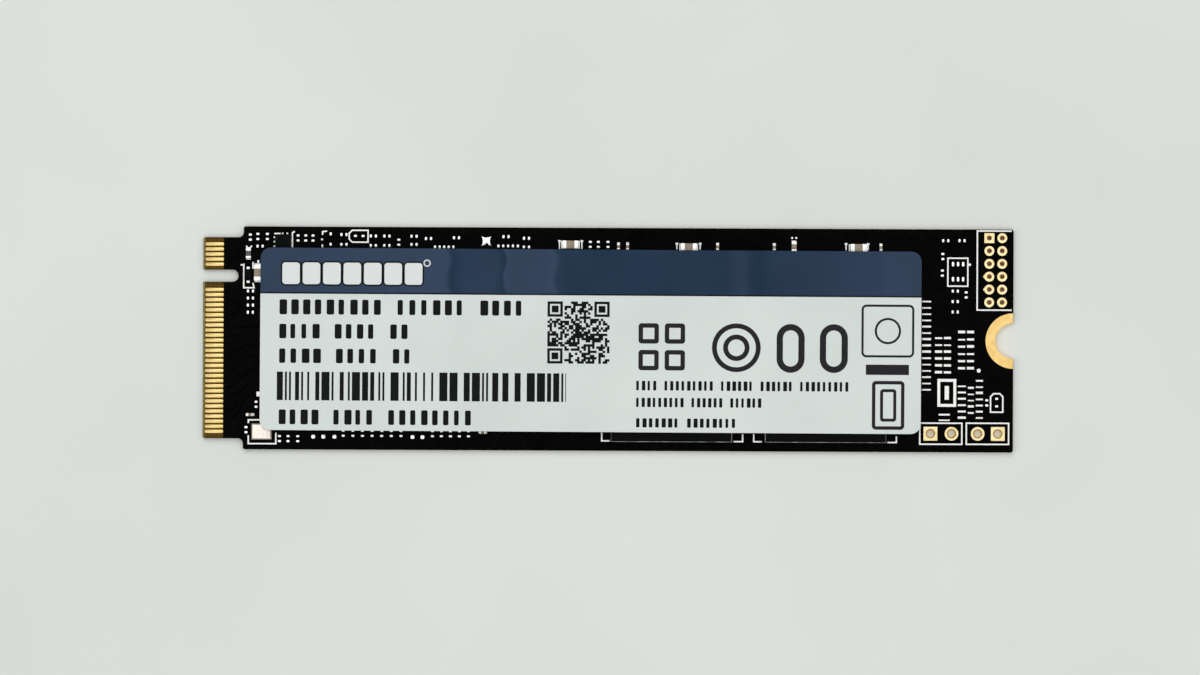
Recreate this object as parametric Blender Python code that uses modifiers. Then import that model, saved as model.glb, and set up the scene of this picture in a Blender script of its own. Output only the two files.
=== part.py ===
"""Gumstick solid state drive: an 80 mm flash storage card with an M-key edge connector.

The drive lies on its underside, chips up. +X runs from the gold edge connector to the screw
notch, +Y is the long edge that the key notch is nearer to, and the origin is under the middle
of the board. All sizes are in metres.
"""

import math
from itertools import cycle

import bmesh
import bpy
from mathutils import Matrix

for old_object in list(bpy.data.objects):
    bpy.data.objects.remove(old_object, do_unlink=True)

# Circuit board
BOARD_LENGTH = 0.0800
BOARD_THICKNESS = 0.0008
BOARD_CORNER = 0.0002
TONGUE_LENGTH = 0.0040
TONGUE_CORNER = 0.00025
SHOULDER_STEP = 0.001075
SHOULDER_FILLET = 0.0005
EDGE_CHAMFER = 0.0002

# Edge contacts: odd pins lie on the chip side and even pins underneath, half a pitch along
CONTACT_PITCH = 0.0005
CONTACT_WIDTH = 0.00035
CONTACT_LENGTH = 0.0018
CONTACT_SETBACK = 0.00005
CONTACT_MARGIN = 0.000675
LAST_PIN = 75
KEY_FIRST_PIN = 59
KEY_LAST_PIN = 66
KEY_WIDTH = 0.0012
KEY_DEPTH = 0.0035

# Copper, and the thin gap under a piece that is seated on it
COPPER = 0.000035
COPPER_ROOT = 0.0001
SEAT_GAP = 0.00002

# Half-moon screw notch with its plated land
NOTCH_RADIUS = 0.00175
LAND_RADIUS = 0.00275
LAND_EDGE_GAP = 0.0001

# Twelve-way test header and the four larger holes, all plated through
HEADER_PITCH = 0.00127
HEADER_RING = 0.00049
HEADER_DRILL = 0.00025
HEADER_END_INSET = 0.00112
HEADER_SIDE_INSET = 0.00084
HEADER_ROWS = 6
HEADER_COLUMNS = 2
POST_RING = 0.00068
POST_DRILL = 0.000375
POST_SIDE_INSET = 0.00183
POST_END_INSETS = (0.00149, 0.00348, 0.00606, 0.00814)

# Tinned pads that carry no piece
PAD_LONG = 0.00038
PAD_SHORT = 0.00028
PAD_PITCH = 0.00050
PAD_HEIGHT = 0.00005
BLOB_SIDE = 0.00048
STAR_SIDE = 0.00102
STAR_WAIST = 0.00012
STAR_PLACE = (-0.00319, 0.00136)

# Flash packages, in a row from the screw end: as many as leave the cache its room
FLASH_WIDTH = 0.0120
FLASH_LENGTH = 0.0180
FLASH_GAP = 0.00317
FLASH_END_INSET = 0.01255
FLASH_SIDE_INSET = 0.00088

# Controller and cache packages, with the height that the label rests on
CONTROLLER_SIDE = 0.0110
CONTROLLER_END_INSET = 0.0110
CONTROLLER_SIDE_INSET = 0.0035
MOULD_STEP = 0.0004
CACHE_WIDTH = 0.0080
CACHE_LENGTH = 0.0120
CACHE_SIDE_INSET = 0.0040
CACHE_ROOM = 0.0025
BALL_HEIGHT = 0.00025
BALL_RADIUS = 0.00020
BALL_ROOT = 0.00005
FLASH_BALL_PITCH = 0.0010
CONTROLLER_BALL_PITCH = 0.0008
CACHE_BALL_PITCH = 0.0016
BALL_EDGE_MARGIN = 0.0015
SUBSTRATE = 0.00025
PACKAGE_HEIGHT = 0.0012
CACHE_HEIGHT = 0.0010
PACKAGE_EDGE = 0.00005

# Power stage between the connector and the controller
LOAD_SWITCH_SIZE = (0.00155, 0.0020, 0.00075)
LOAD_SWITCH_PLACE = (0.00718, 0.00084)
LOAD_SWITCH_PADS = 3
LOAD_SWITCH_PAD_PITCH = 0.00045
POWER_CHIP_SIZE = (0.0040, 0.0040, 0.0009)
INDUCTOR_SIZE = (0.0025, 0.0020, 0.0010)
INDUCTOR_TERMINAL = 0.00055
POWER_COLUMN_INSET = 0.00835
POWER_COLUMN_GAP = 0.0006

# Small parts: length, width and height of the chip sizes, and the length of their end caps
CHIP_0603 = (0.00160, 0.00080, 0.00080)
CHIP_0402 = (0.00100, 0.00050, 0.00050)
CHIP_0201 = (0.00060, 0.00030, 0.00030)
END_CAP_SHARE = 0.22
END_CAP_PROUD = 0.00001
END_CAP_EDGE = 0.00006
RESISTOR_HEIGHT = 0.00035
CRYSTAL_SIZE = (0.0020, 0.0016, 0.00050)
CRYSTAL_LID_INSET = 0.00012
CRYSTAL_LID_HEIGHT = 0.00018
DIODE_SIZE = (0.0008, 0.0012, 0.0006)
DIODE_LEAD = (0.0003, 0.0016, 0.00012)

# Places of the small parts: distance along from what they stand by, then from one long edge.
# The front capacitors and those up to the resistors are placed from the connector end.
CRYSTAL_PLACE = (0.00587, 0.00176)
DIODE_PLACE = (0.00448, 0.00479)
INPUT_CAPACITOR_PLACE = (0.00548, 0.00458)
INPUT_RESISTOR_PLACE = (0.00449, 0.00267)
STRAP_RESISTOR_PLACE = (0.00595, 0.00546)
FRONT_CAPACITOR_PLACES = ((0.00471, 0.00342), (0.02768, 0.00178))
CACHE_CAPACITOR_PLACE = (0.00512, 0.00168)
FLASH_CAPACITOR_PLACE = (0.00287, 0.00180)
FLASH_ROW_CAPACITORS = (0.00764, 0.00921)
FLASH_ROW_SIDE_INSET = 0.00190
FLASH_SMALL_CAPACITORS = ((0.00072, 0.00161, 0.01050), (0.00092, 0.01145))
FLASH_SMALL_SIDE_INSET = 0.00185
BYPASS_GAP = 0.0005

# Label: a film laid over the packages
LABEL_THICKNESS = 0.0001
LABEL_END_INSETS = (0.00575, 0.00918)
LABEL_SIDE_INSETS = (0.00218, 0.00187)  # from the back edge, from the front edge
LABEL_CORNER = 0.0010
LABEL_TURN = math.radians(-0.12)
LABEL_SAG_SHARE = 0.012
LABEL_END_DROOP = 0.00012
LABEL_SIDE_DROOP = 0.00006

# Places worked out from the sizes above
CONTACT_SPAN = (LAST_PIN - 1) / 2 * CONTACT_PITCH
TONGUE_WIDTH = CONTACT_SPAN + 2 * CONTACT_MARGIN
BOARD_WIDTH = TONGUE_WIDTH + 2 * SHOULDER_STEP
LEFT = -BOARD_LENGTH / 2
RIGHT = BOARD_LENGTH / 2
BACK = BOARD_WIDTH / 2
FRONT = -BOARD_WIDTH / 2
BOARD_BOTTOM = COPPER
BOARD_TOP = BOARD_BOTTOM + BOARD_THICKNESS
SEAT = BOARD_TOP + SEAT_GAP
CONTROLLER_LEFT = LEFT + CONTROLLER_END_INSET
CONTROLLER_RIGHT = CONTROLLER_LEFT + CONTROLLER_SIDE
FLASH_RIGHT = RIGHT - FLASH_END_INSET
FLASH_PITCH = FLASH_WIDTH + FLASH_GAP
FLASH_ROOM = FLASH_RIGHT - CONTROLLER_RIGHT - CACHE_WIDTH - 2 * CACHE_ROOM
FLASH_COUNT = max(1, int((FLASH_ROOM + FLASH_GAP) / FLASH_PITCH))
FLASH_LEFTS = [FLASH_RIGHT + FLASH_GAP - (FLASH_COUNT - n) * FLASH_PITCH for n in range(FLASH_COUNT)]
FLASH_BACK = FRONT + FLASH_SIDE_INSET + FLASH_LENGTH
CACHE_MIDDLE = (CONTROLLER_RIGHT + FLASH_LEFTS[0]) / 2
POWER_COLUMN = LEFT + POWER_COLUMN_INSET

parts = bpy.data.collections.new("solid_state_drive")
tools = bpy.data.collections.new("cutters")
for collection in (parts, tools):
    bpy.context.scene.collection.children.link(collection)
carrier = bpy.data.objects.new("drive", None)
parts.objects.link(carrier)


def finish(name, colour, roughness, metallic=0.0):
    """A plain surface finish."""
    material = bpy.data.materials.new(name)
    material.use_nodes = True
    shader = material.node_tree.nodes["Principled BSDF"]
    shader.inputs["Base Color"].default_value = (*colour, 1.0)
    shader.inputs["Roughness"].default_value = roughness
    shader.inputs["Metallic"].default_value = metallic
    return material


BLACK_BOARD = finish("black_solder_mask", (0.004, 0.004, 0.005), 0.35)
BLACK_MOULD = finish("black_moulding", (0.012, 0.012, 0.013), 0.6)
LABEL_FILM = finish("label_film", (0.67, 0.74, 0.73), 0.4)
CERAMIC = finish("brown_ceramic", (0.30, 0.20, 0.15), 0.5)
RESISTIVE = finish("grey_ceramic", (0.20, 0.20, 0.20), 0.5)
FERRITE = finish("grey_ferrite", (0.05, 0.05, 0.055), 0.7)
CAN_METAL = finish("can_metal", (0.70, 0.62, 0.60), 0.3, 1.0)


def keep(thing, material):
    """Makes an object one of the drive's own pieces."""
    parts.objects.link(thing)
    thing.parent = carrier
    thing.data.materials.append(material)
    return thing


def helper(thing):
    """Makes an object a tool that joins or cuts another one."""
    tools.objects.link(thing)
    thing.hide_render = True
    thing.display_type = "WIRE"
    return thing


def mesh_object(name, mesh_builder):
    """An object whose mesh holds what is in the given bmesh."""
    mesh = bpy.data.meshes.new(name)
    mesh_builder.to_mesh(mesh)
    mesh_builder.free()
    return bpy.data.objects.new(name, mesh)


def combine(target, operation, tool):
    """Joins, cuts or trims an object with a tool object."""
    modifier = target.modifiers.new(operation.lower(), "BOOLEAN")
    modifier.operation = operation
    modifier.solver = "EXACT"
    modifier.object = tool


def add_box(builder, low, high):
    """Adds a box between two corners."""
    middle = [(a + b) / 2 for a, b in zip(low, high)]
    sides = [b - a for a, b in zip(low, high)]
    place = Matrix.Translation(middle) @ Matrix.Diagonal((*sides, 1.0))
    bmesh.ops.create_cube(builder, size=1.0, matrix=place)


def add_drum(builder, x, y, radius, low, high, sides):
    """Adds an upright cylinder."""
    place = Matrix.Translation((x, y, (low + high) / 2))
    bmesh.ops.create_cone(
        builder, cap_ends=True, segments=sides, radius1=radius, radius2=radius,
        depth=high - low, matrix=place,
    )


def soften(builder, width, edges=None):
    """Bevels the given edges, or all of them."""
    bmesh.ops.bevel(
        builder, geom=edges or builder.edges[:], offset=width, segments=1, profile=0.5,
        affect="EDGES", clamp_overlap=True,
    )


def arc(x, y, radius, start, end, steps):
    """Points of a round stretch between two angles in degrees, both ends included."""
    angles = [math.radians(start + (end - start) * step / steps) for step in range(steps + 1)]
    return [(x + radius * math.cos(angle), y + radius * math.sin(angle)) for angle in angles]


def outline_solid(name, points, low, high):
    """A closed flat outline, extruded between two heights and made a mesh."""
    curve = bpy.data.curves.new(name + "_outline", "CURVE")
    curve.dimensions = "2D"
    curve.fill_mode = "BOTH"
    curve.extrude = (high - low) / 2
    spline = curve.splines.new("POLY")
    spline.points.add(len(points) - 1)
    for point, (x, y) in zip(spline.points, points):
        point.co = (x, y, 0.0, 1.0)
    spline.use_cyclic_u = True
    flat = bpy.data.objects.new(name + "_outline", curve)
    bpy.context.scene.collection.objects.link(flat)
    flat.location.z = (low + high) / 2
    bpy.context.view_layer.update()
    graph = bpy.context.evaluated_depsgraph_get()
    builder = bmesh.new()
    builder.from_mesh(bpy.data.meshes.new_from_object(flat.evaluated_get(graph)))
    bmesh.ops.remove_doubles(builder, verts=builder.verts[:], dist=1e-7)
    bmesh.ops.recalc_face_normals(builder, faces=builder.faces[:])
    solid = mesh_object(name, builder)
    solid.matrix_world = flat.matrix_world.copy()
    bpy.data.objects.remove(flat, do_unlink=True)
    return solid


def pin_place(pin):
    """Distance of a contact from the board's middle line, for odd and even pins alike."""
    return (pin - 1) / 2 * CONTACT_PITCH - CONTACT_SPAN / 2


KEY_PLACE = (pin_place(KEY_FIRST_PIN) + pin_place(KEY_LAST_PIN)) / 2


def board_outline():
    """The board's edge, anticlockwise from the front corner of the connector tongue."""
    tongue = TONGUE_WIDTH / 2
    shoulder = LEFT + TONGUE_LENGTH
    key_end = LEFT + KEY_DEPTH - KEY_WIDTH / 2
    points = arc(LEFT + TONGUE_CORNER, -tongue + TONGUE_CORNER, TONGUE_CORNER, 180, 270, 3)
    points += arc(shoulder - SHOULDER_FILLET, -tongue - SHOULDER_FILLET, SHOULDER_FILLET, 90, 0, 4)
    points += arc(shoulder + BOARD_CORNER, FRONT + BOARD_CORNER, BOARD_CORNER, 180, 270, 2)
    points += arc(RIGHT - BOARD_CORNER, FRONT + BOARD_CORNER, BOARD_CORNER, 270, 360, 2)
    points += arc(RIGHT - BOARD_CORNER, BACK - BOARD_CORNER, BOARD_CORNER, 0, 90, 2)
    points += arc(shoulder + BOARD_CORNER, BACK - BOARD_CORNER, BOARD_CORNER, 90, 180, 2)
    points += arc(shoulder - SHOULDER_FILLET, tongue + SHOULDER_FILLET, SHOULDER_FILLET, 0, -90, 4)
    points += arc(LEFT + TONGUE_CORNER, tongue - TONGUE_CORNER, TONGUE_CORNER, 90, 180, 3)
    points.append((LEFT, KEY_PLACE + KEY_WIDTH / 2))
    points += arc(key_end, KEY_PLACE, KEY_WIDTH / 2, 90, -90, 8)
    points.append((LEFT, KEY_PLACE - KEY_WIDTH / 2))
    return points


# Plated holes: the header's two columns, the first pin's ring square, and four larger posts
HEADER_HOLES = [
    (RIGHT - HEADER_END_INSET - column * HEADER_PITCH, BACK - HEADER_SIDE_INSET - row * HEADER_PITCH)
    for row in range(HEADER_ROWS)
    for column in range(HEADER_COLUMNS)
]
FIRST_PIN_HOLE = HEADER_COLUMNS - 1
POST_HOLES = [(RIGHT - inset, FRONT + POST_SIDE_INSET) for inset in POST_END_INSETS]
SQUARE_POSTS = (0, 3)

# Empty pad pairs: distance along from what they stand by, then from the key side's edge.
# Upright pairs have one pad above the other, flat pairs lie side by side.
UPRIGHT_FROM_CONNECTOR = (
    (0.00465, 0.00106), (0.00539, 0.00099), (0.00633, 0.00099), (0.00936, 0.00113),
    (0.01012, 0.00113), (0.01084, 0.00113), (0.01931, 0.00151), (0.00530, 0.01756),
    (0.00431, 0.02007), (0.00762, 0.02093), (0.00846, 0.02093), (0.00942, 0.02093),
)
UPRIGHT_FROM_FLASH = ((-0.00207, 0.00164), (-0.00127, 0.00164), (-0.00032, 0.00164))
UPRIGHT_FROM_SCREW = ((0.00698, 0.00268), (0.00702, 0.00432), (0.00466, 0.00646), (0.00259, 0.01711))
FLAT_FROM_CONNECTOR = (
    (0.00562, 0.00195), (0.01389, 0.00077), (0.01389, 0.00175), (0.01679, 0.00090),
    (0.01679, 0.00185), (0.01813, 0.00090), (0.01813, 0.00184), (0.02081, 0.00091),
    (0.02081, 0.00173), (0.02224, 0.00113), (0.02500, 0.00104),
)
FLAT_FROM_CACHE = ((-0.00125, 0.00091), (0.00077, 0.00106), (0.00077, 0.00193))
FLAT_FROM_SCREW = ((0.00670, 0.00112), (0.00509, 0.00111))

# Regular columns and rows of pads: first place, step and count
LEFT_COLUMN_START = (0.00469, 0.00638)
LEFT_COLUMN_STEP = 0.00070
LEFT_COLUMN_COUNT = 4
RIGHT_COLUMN_START = (0.00574, 0.00609)
RIGHT_COLUMN_STEP = 0.00103
RIGHT_COLUMN_COUNT = 3
FRONT_ROW_INSET = 0.00163
CONTROLLER_FRONT_START = 0.01391
CONTROLLER_FRONT_STEP = 0.00095
CONTROLLER_FRONT_COUNT = 7
CACHE_FRONT_START = 0.02271
CACHE_FRONT_STEP = 0.00089
CACHE_FRONT_COUNT = 5
LABEL_ROW_COUNT = 5
CONTROLLER_LABEL_ROW = (0.02289, 0.00196)
CONTROLLER_LABEL_STEP = 0.00045
CACHE_LABEL_ROW = (-0.00200, 0.00184)
CACHE_LABEL_STEP = 0.00048
BLOB_PLACES = (0.01095, 0.01194, 0.01304, 0.02075, 0.02173)
BLOB_INSET = 0.00128
SIX_PAD_START = (0.00497, 0.00343)
SIX_PAD_STEP = 0.00050
SIX_PAD_ROW_GAP = 0.00149
SIX_PAD_COLUMNS = 3
SIX_PAD_ROWS = 2
SIX_PAD_SIDES = (0.00030, 0.00058)
FRAMED_FROM_CONNECTOR = ((0.01503, 0.00090), (0.01578, 0.00090))
FRAMED_FROM_SCREW = ((0.00161, 0.01670), (0.00161, 0.01745))
SINGLE_PADS = ((0.01258, 0.00070), (0.01258, 0.00174), (0.00545, 0.00347))
GATE_DOT_SIDE = 0.00022
GATE_DOT_GAP = 0.00004


def steps(start, step, count):
    """Evenly spaced distances along a row."""
    return [start + n * step for n in range(count)]


def paired_pads():
    """Middles of the flat pad pairs, then of the upright ones."""
    flat = [(LEFT + x, y) for x, y in FLAT_FROM_CONNECTOR]
    flat += [(CACHE_MIDDLE + x, y) for x, y in FLAT_FROM_CACHE]
    flat += [(RIGHT - x, y) for x, y in FLAT_FROM_SCREW]
    x, y = LEFT_COLUMN_START
    flat += [(LEFT + x, place) for place in steps(y, LEFT_COLUMN_STEP, LEFT_COLUMN_COUNT)]
    x, y = RIGHT_COLUMN_START
    flat += [(RIGHT - x, place) for place in steps(y, RIGHT_COLUMN_STEP, RIGHT_COLUMN_COUNT)]
    upright = [(LEFT + x, y) for x, y in UPRIGHT_FROM_CONNECTOR]
    upright += [(FLASH_LEFTS[0] + x, y) for x, y in UPRIGHT_FROM_FLASH]
    upright += [(RIGHT - x, y) for x, y in UPRIGHT_FROM_SCREW]
    front_row = steps(CONTROLLER_FRONT_START, CONTROLLER_FRONT_STEP, CONTROLLER_FRONT_COUNT)
    front_row += steps(CACHE_FRONT_START, CACHE_FRONT_STEP, CACHE_FRONT_COUNT)
    upright += [(LEFT + place, BOARD_WIDTH - FRONT_ROW_INSET) for place in front_row]
    return flat, upright


def single_pads():
    """Middle and sides of each pad that stands by itself, its distance taken from the key side."""
    flat_pad = (PAD_SHORT, PAD_LONG)
    for (x, y), step, start in (
        (CONTROLLER_LABEL_ROW, CONTROLLER_LABEL_STEP, LEFT),
        (CACHE_LABEL_ROW, CACHE_LABEL_STEP, CACHE_MIDDLE),
    ):
        for place in steps(start + x, step, LABEL_ROW_COUNT):
            yield place, y, flat_pad
    for x, y in SINGLE_PADS:
        yield LEFT + x, y, flat_pad
    for place in BLOB_PLACES:
        yield LEFT + place, BOARD_WIDTH - BLOB_INSET, (BLOB_SIDE, BLOB_SIDE)
    x, y = SIX_PAD_START
    for column in steps(x, SIX_PAD_STEP, SIX_PAD_COLUMNS):
        for row in steps(y, SIX_PAD_ROW_GAP, SIX_PAD_ROWS):
            yield RIGHT - column, row, SIX_PAD_SIDES
    framed = [(LEFT + x, y) for x, y in FRAMED_FROM_CONNECTOR]
    framed += [(RIGHT - x, y) for x, y in FRAMED_FROM_SCREW]
    for x, y in framed:
        yield x, y, (PAD_LONG, PAD_SHORT)
    x, y = LOAD_SWITCH_PLACE
    reach = GATE_DOT_GAP + GATE_DOT_SIDE / 2
    for along in steps(GATE_DOT_SIDE, LOAD_SWITCH_PAD_PITCH, LOAD_SWITCH_PADS):
        yield LEFT + x - reach, y + along, (GATE_DOT_SIDE, GATE_DOT_SIDE)
        yield LEFT + x + along, y - reach, (GATE_DOT_SIDE, GATE_DOT_SIDE)


def pad_places():
    """Middle and sides of every empty pad on the chip side."""
    flat, upright = paired_pads()
    half = PAD_PITCH / 2
    for x, y in flat:
        yield x - half, BACK - y, (PAD_SHORT, PAD_LONG)
        yield x + half, BACK - y, (PAD_SHORT, PAD_LONG)
    for x, y in upright:
        yield x, BACK - y - half, (PAD_LONG, PAD_SHORT)
        yield x, BACK - y + half, (PAD_LONG, PAD_SHORT)
    for x, y, sides in single_pads():
        yield x, BACK - y, sides


def star_outline():
    """A solder pad with four pointed corners and hollow sides."""
    x, y = CACHE_MIDDLE + STAR_PLACE[0], BACK - STAR_PLACE[1]
    half = STAR_SIDE / 2
    radius = (half**2 + STAR_WAIST**2) / (2 * STAR_WAIST)
    sweep = math.degrees(math.asin(half / radius))
    reach = half - STAR_WAIST + radius
    points = []
    for quarter in (0, 90, 180, 270):
        turn = math.radians(quarter)
        hollow = (x + reach * math.cos(turn), y + reach * math.sin(turn))
        points += arc(*hollow, radius, quarter + 180 + sweep, quarter + 180 - sweep, 4)[:-1]
    return points


def board_copper():
    """Every raised contact, pad, ring and land, rooted in the board it is joined to."""
    copper = bmesh.new()
    top_root, top = BOARD_TOP - COPPER_ROOT, BOARD_TOP + COPPER
    low, low_root = 0.0, BOARD_BOTTOM + COPPER_ROOT
    contact_start = LEFT + EDGE_CHAMFER + CONTACT_SETBACK
    for pin in range(1, LAST_PIN + 1):
        if KEY_FIRST_PIN <= pin <= KEY_LAST_PIN:
            continue
        levels = (top_root, top) if pin % 2 else (low, low_root)
        y = pin_place(pin)
        add_box(
            copper,
            (contact_start, y - CONTACT_WIDTH / 2, levels[0]),
            (contact_start + CONTACT_LENGTH, y + CONTACT_WIDTH / 2, levels[1]),
        )
    for x, y, (width, depth) in pad_places():
        add_box(
            copper,
            (x - width / 2, y - depth / 2, top_root),
            (x + width / 2, y + depth / 2, BOARD_TOP + PAD_HEIGHT),
        )
    for bottom, upper in ((top_root, top), (low, low_root)):
        for n, (x, y) in enumerate(HEADER_HOLES):
            if n == FIRST_PIN_HOLE:
                side = HEADER_RING
                add_box(copper, (x - side, y - side, bottom), (x + side, y + side, upper))
            else:
                add_drum(copper, x, y, HEADER_RING, bottom, upper, 12)
        for n, (x, y) in enumerate(POST_HOLES):
            if n in SQUARE_POSTS:
                side = POST_RING
                add_box(copper, (x - side, y - side, bottom), (x + side, y + side, upper))
            else:
                add_drum(copper, x, y, POST_RING, bottom, upper, 16)
    return helper(mesh_object("board_copper", copper))


def make_board():
    """The laminate with its contacts, pads, lands, key notch, screw notch and plated holes."""
    board = keep(outline_solid("circuit_board", board_outline(), BOARD_BOTTOM, BOARD_TOP), BLACK_BOARD)
    combine(board, "UNION", board_copper())
    board.modifiers["union"].use_self = True
    land = arc(RIGHT - LAND_EDGE_GAP, 0.0, LAND_RADIUS, 90, 270, 18)
    star_top = BOARD_TOP + PAD_HEIGHT
    for name, points, low, high in (
        ("land_above", land, BOARD_TOP - COPPER_ROOT, BOARD_TOP + COPPER),
        ("land_below", land, 0.0, BOARD_BOTTOM + COPPER_ROOT),
        ("solder_star", star_outline(), BOARD_TOP - COPPER_ROOT, star_top),
    ):
        combine(board, "UNION", helper(outline_solid(name, points, low, high)))
    drills = bmesh.new()
    below, above = -BOARD_THICKNESS, BOARD_TOP + BOARD_THICKNESS
    for x, y in HEADER_HOLES:
        add_drum(drills, x, y, HEADER_DRILL, below, above, 8)
    for x, y in POST_HOLES:
        add_drum(drills, x, y, POST_DRILL, below, above, 14)
    add_drum(drills, RIGHT, 0.0, NOTCH_RADIUS, below, above, 40)
    combine(board, "DIFFERENCE", helper(mesh_object("board_drills", drills)))
    corners = bmesh.new()
    for height in (BOARD_BOTTOM, BOARD_TOP):
        place = Matrix.Translation((LEFT, 0.0, height)) @ Matrix.Rotation(math.pi / 2, 4, "X")
        bmesh.ops.create_cone(
            corners, cap_ends=True, segments=4, radius1=EDGE_CHAMFER, radius2=EDGE_CHAMFER,
            depth=BOARD_WIDTH, matrix=place,
        )
    combine(board, "DIFFERENCE", helper(mesh_object("edge_chamfers", corners)))
    return board


def ball_ring(builder, low, high, pitch, sides):
    """The outer ring of a package's solder balls, between two corners of its outline."""
    counts = [int((b - a - 2 * BALL_EDGE_MARGIN) / pitch) + 1 for a, b in zip(low, high)]
    for i in range(counts[0]):
        for j in range(counts[1]):
            if i in (0, counts[0] - 1) or j in (0, counts[1] - 1):
                x = (low[0] + high[0]) / 2 + (i - (counts[0] - 1) / 2) * pitch
                y = (low[1] + high[1]) / 2 + (j - (counts[1] - 1) / 2) * pitch
                ball_top = BOARD_TOP + BALL_HEIGHT + BALL_ROOT
                add_drum(builder, x, y, BALL_RADIUS, SEAT, ball_top, sides)


def make_package(name, low, high, height, pitch, ball_sides, mould_step=0.0):
    """A ball grid package: substrate, moulded body and the ball ring it stands on."""
    bottom, top = BOARD_TOP + BALL_HEIGHT, BOARD_TOP + height
    body = bmesh.new()
    add_box(body, (*low, bottom), (*high, top if not mould_step else bottom + SUBSTRATE))
    if not mould_step:
        soften(body, PACKAGE_EDGE, [e for e in body.edges if min(v.co.z for v in e.verts) > top - 1e-6])
    package = keep(mesh_object(name, body), BLACK_MOULD)
    if mould_step:
        mould = bmesh.new()
        add_box(
            mould,
            (low[0] + mould_step, low[1] + mould_step, bottom + SUBSTRATE / 2),
            (high[0] - mould_step, high[1] - mould_step, top),
        )
        upper = [e for e in mould.edges if max(v.co.z for v in e.verts) > top - 1e-6]
        soften(mould, 2 * PACKAGE_EDGE, upper)
        combine(package, "UNION", helper(mesh_object(name + "_mould", mould)))
    balls = bmesh.new()
    ball_ring(balls, low, high, pitch, ball_sides)
    combine(package, "UNION", helper(mesh_object(name + "_balls", balls)))


def make_block(name, x, y, size, material, edge=PACKAGE_EDGE):
    """A plain moulded block whose upper edges are eased."""
    block = bmesh.new()
    width, depth, height = size
    add_box(block, (x - width / 2, y - depth / 2, SEAT), (x + width / 2, y + depth / 2, SEAT + height))
    soften(block, edge, [e for e in block.edges if max(v.co.z for v in e.verts) > SEAT + height - 1e-6])
    return keep(mesh_object(name, block), material)


def end_capped_mesh(name, size, cap, edge):
    """A chip part's mesh about its own middle, lying along X: a body and two proud end caps."""
    length, width, height = size
    body = bmesh.new()
    body_end = length / 2 - cap / 2
    half = width / 2 - END_CAP_PROUD
    add_box(body, (-body_end, -half, END_CAP_PROUD), (body_end, half, height - END_CAP_PROUD))
    caps = bmesh.new()
    for side in (-1, 1):
        ends = sorted((side * (length / 2 - cap), side * length / 2))
        add_box(caps, (ends[0], -width / 2, 0.0), (ends[1], width / 2, height))
    if edge:
        soften(caps, edge)
    joined = mesh_object(name, body)
    tools.objects.link(joined)
    ends = helper(mesh_object(name + "_ends", caps))
    combine(joined, "UNION", ends)
    bpy.context.view_layer.update()
    graph = bpy.context.evaluated_depsgraph_get()
    mesh = bpy.data.meshes.new_from_object(joined.evaluated_get(graph))
    mesh.name = name
    bpy.data.objects.remove(joined, do_unlink=True)
    bpy.data.objects.remove(ends, do_unlink=True)
    return mesh


def chip_mesh(name, size, material, edge=0.0):
    """An end-capped chip part's shared mesh, with its finish."""
    mesh = end_capped_mesh(name, size, END_CAP_SHARE * size[0], edge)
    mesh.materials.append(material)
    return mesh


MESH_0603 = chip_mesh("chip_0603", CHIP_0603, CERAMIC, END_CAP_EDGE)
MESH_0603_HIDDEN = chip_mesh("hidden_0603", CHIP_0603, CERAMIC)
MESH_0402 = chip_mesh("chip_0402", CHIP_0402, CERAMIC)
MESH_0201 = chip_mesh("chip_0201", CHIP_0201, CERAMIC)
MESH_0402_RESISTOR = chip_mesh("resistor_0402", (*CHIP_0402[:2], RESISTOR_HEIGHT), RESISTIVE)


def place_chip(name, mesh, x, y, upright=False):
    """Seats a chip part on the board, along X or, when upright, along Y."""
    chip = bpy.data.objects.new(name, mesh)
    parts.objects.link(chip)
    chip.parent = carrier
    chip.location = (x, y, SEAT)
    chip.rotation_euler.z = math.pi / 2 if upright else 0.0


def make_packages():
    """Controller, cache memory and the row of flash packages."""
    low = (CONTROLLER_LEFT, FRONT + CONTROLLER_SIDE_INSET)
    high = (CONTROLLER_RIGHT, FRONT + CONTROLLER_SIDE_INSET + CONTROLLER_SIDE)
    make_package("controller_chip", low, high, PACKAGE_HEIGHT, CONTROLLER_BALL_PITCH, 4, MOULD_STEP)
    low = (CACHE_MIDDLE - CACHE_WIDTH / 2, FRONT + CACHE_SIDE_INSET)
    high = (CACHE_MIDDLE + CACHE_WIDTH / 2, FRONT + CACHE_SIDE_INSET + CACHE_LENGTH)
    make_package("cache_chip", low, high, CACHE_HEIGHT, CACHE_BALL_PITCH, 4)
    for n, left in enumerate(FLASH_LEFTS, start=1):
        low = (left, FRONT + FLASH_SIDE_INSET)
        high = (left + FLASH_WIDTH, FLASH_BACK)
        make_package(f"flash_chip_{n}", low, high, PACKAGE_HEIGHT, FLASH_BALL_PITCH, 6)


def make_inductor(name, x, y):
    """A moulded power inductor: a ferrite block between two wrapped terminals."""
    mesh = end_capped_mesh(name, INDUCTOR_SIZE, INDUCTOR_TERMINAL, 0.0)
    mesh.materials.append(FERRITE)
    place_chip(name, mesh, x, y)


def make_power_stage():
    """Load switch, inductors and power chip, stacked in one column from the key side."""
    width, depth, _ = LOAD_SWITCH_SIZE
    switch_x = LEFT + LOAD_SWITCH_PLACE[0] + width / 2
    y = BACK - LOAD_SWITCH_PLACE[1] - depth
    make_block("load_switch", switch_x, y + depth / 2, LOAD_SWITCH_SIZE, BLACK_MOULD)
    column = ("power_inductor_1", "power_inductor_2", "power_chip", "power_inductor_3")
    for name in column:
        size = POWER_CHIP_SIZE if name == "power_chip" else INDUCTOR_SIZE
        middle = y - POWER_COLUMN_GAP - size[1] / 2
        if name == "power_chip":
            make_block(name, POWER_COLUMN, middle, size, BLACK_MOULD)
        else:
            make_inductor(name, POWER_COLUMN, middle)
        y = middle - size[1] / 2


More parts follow.
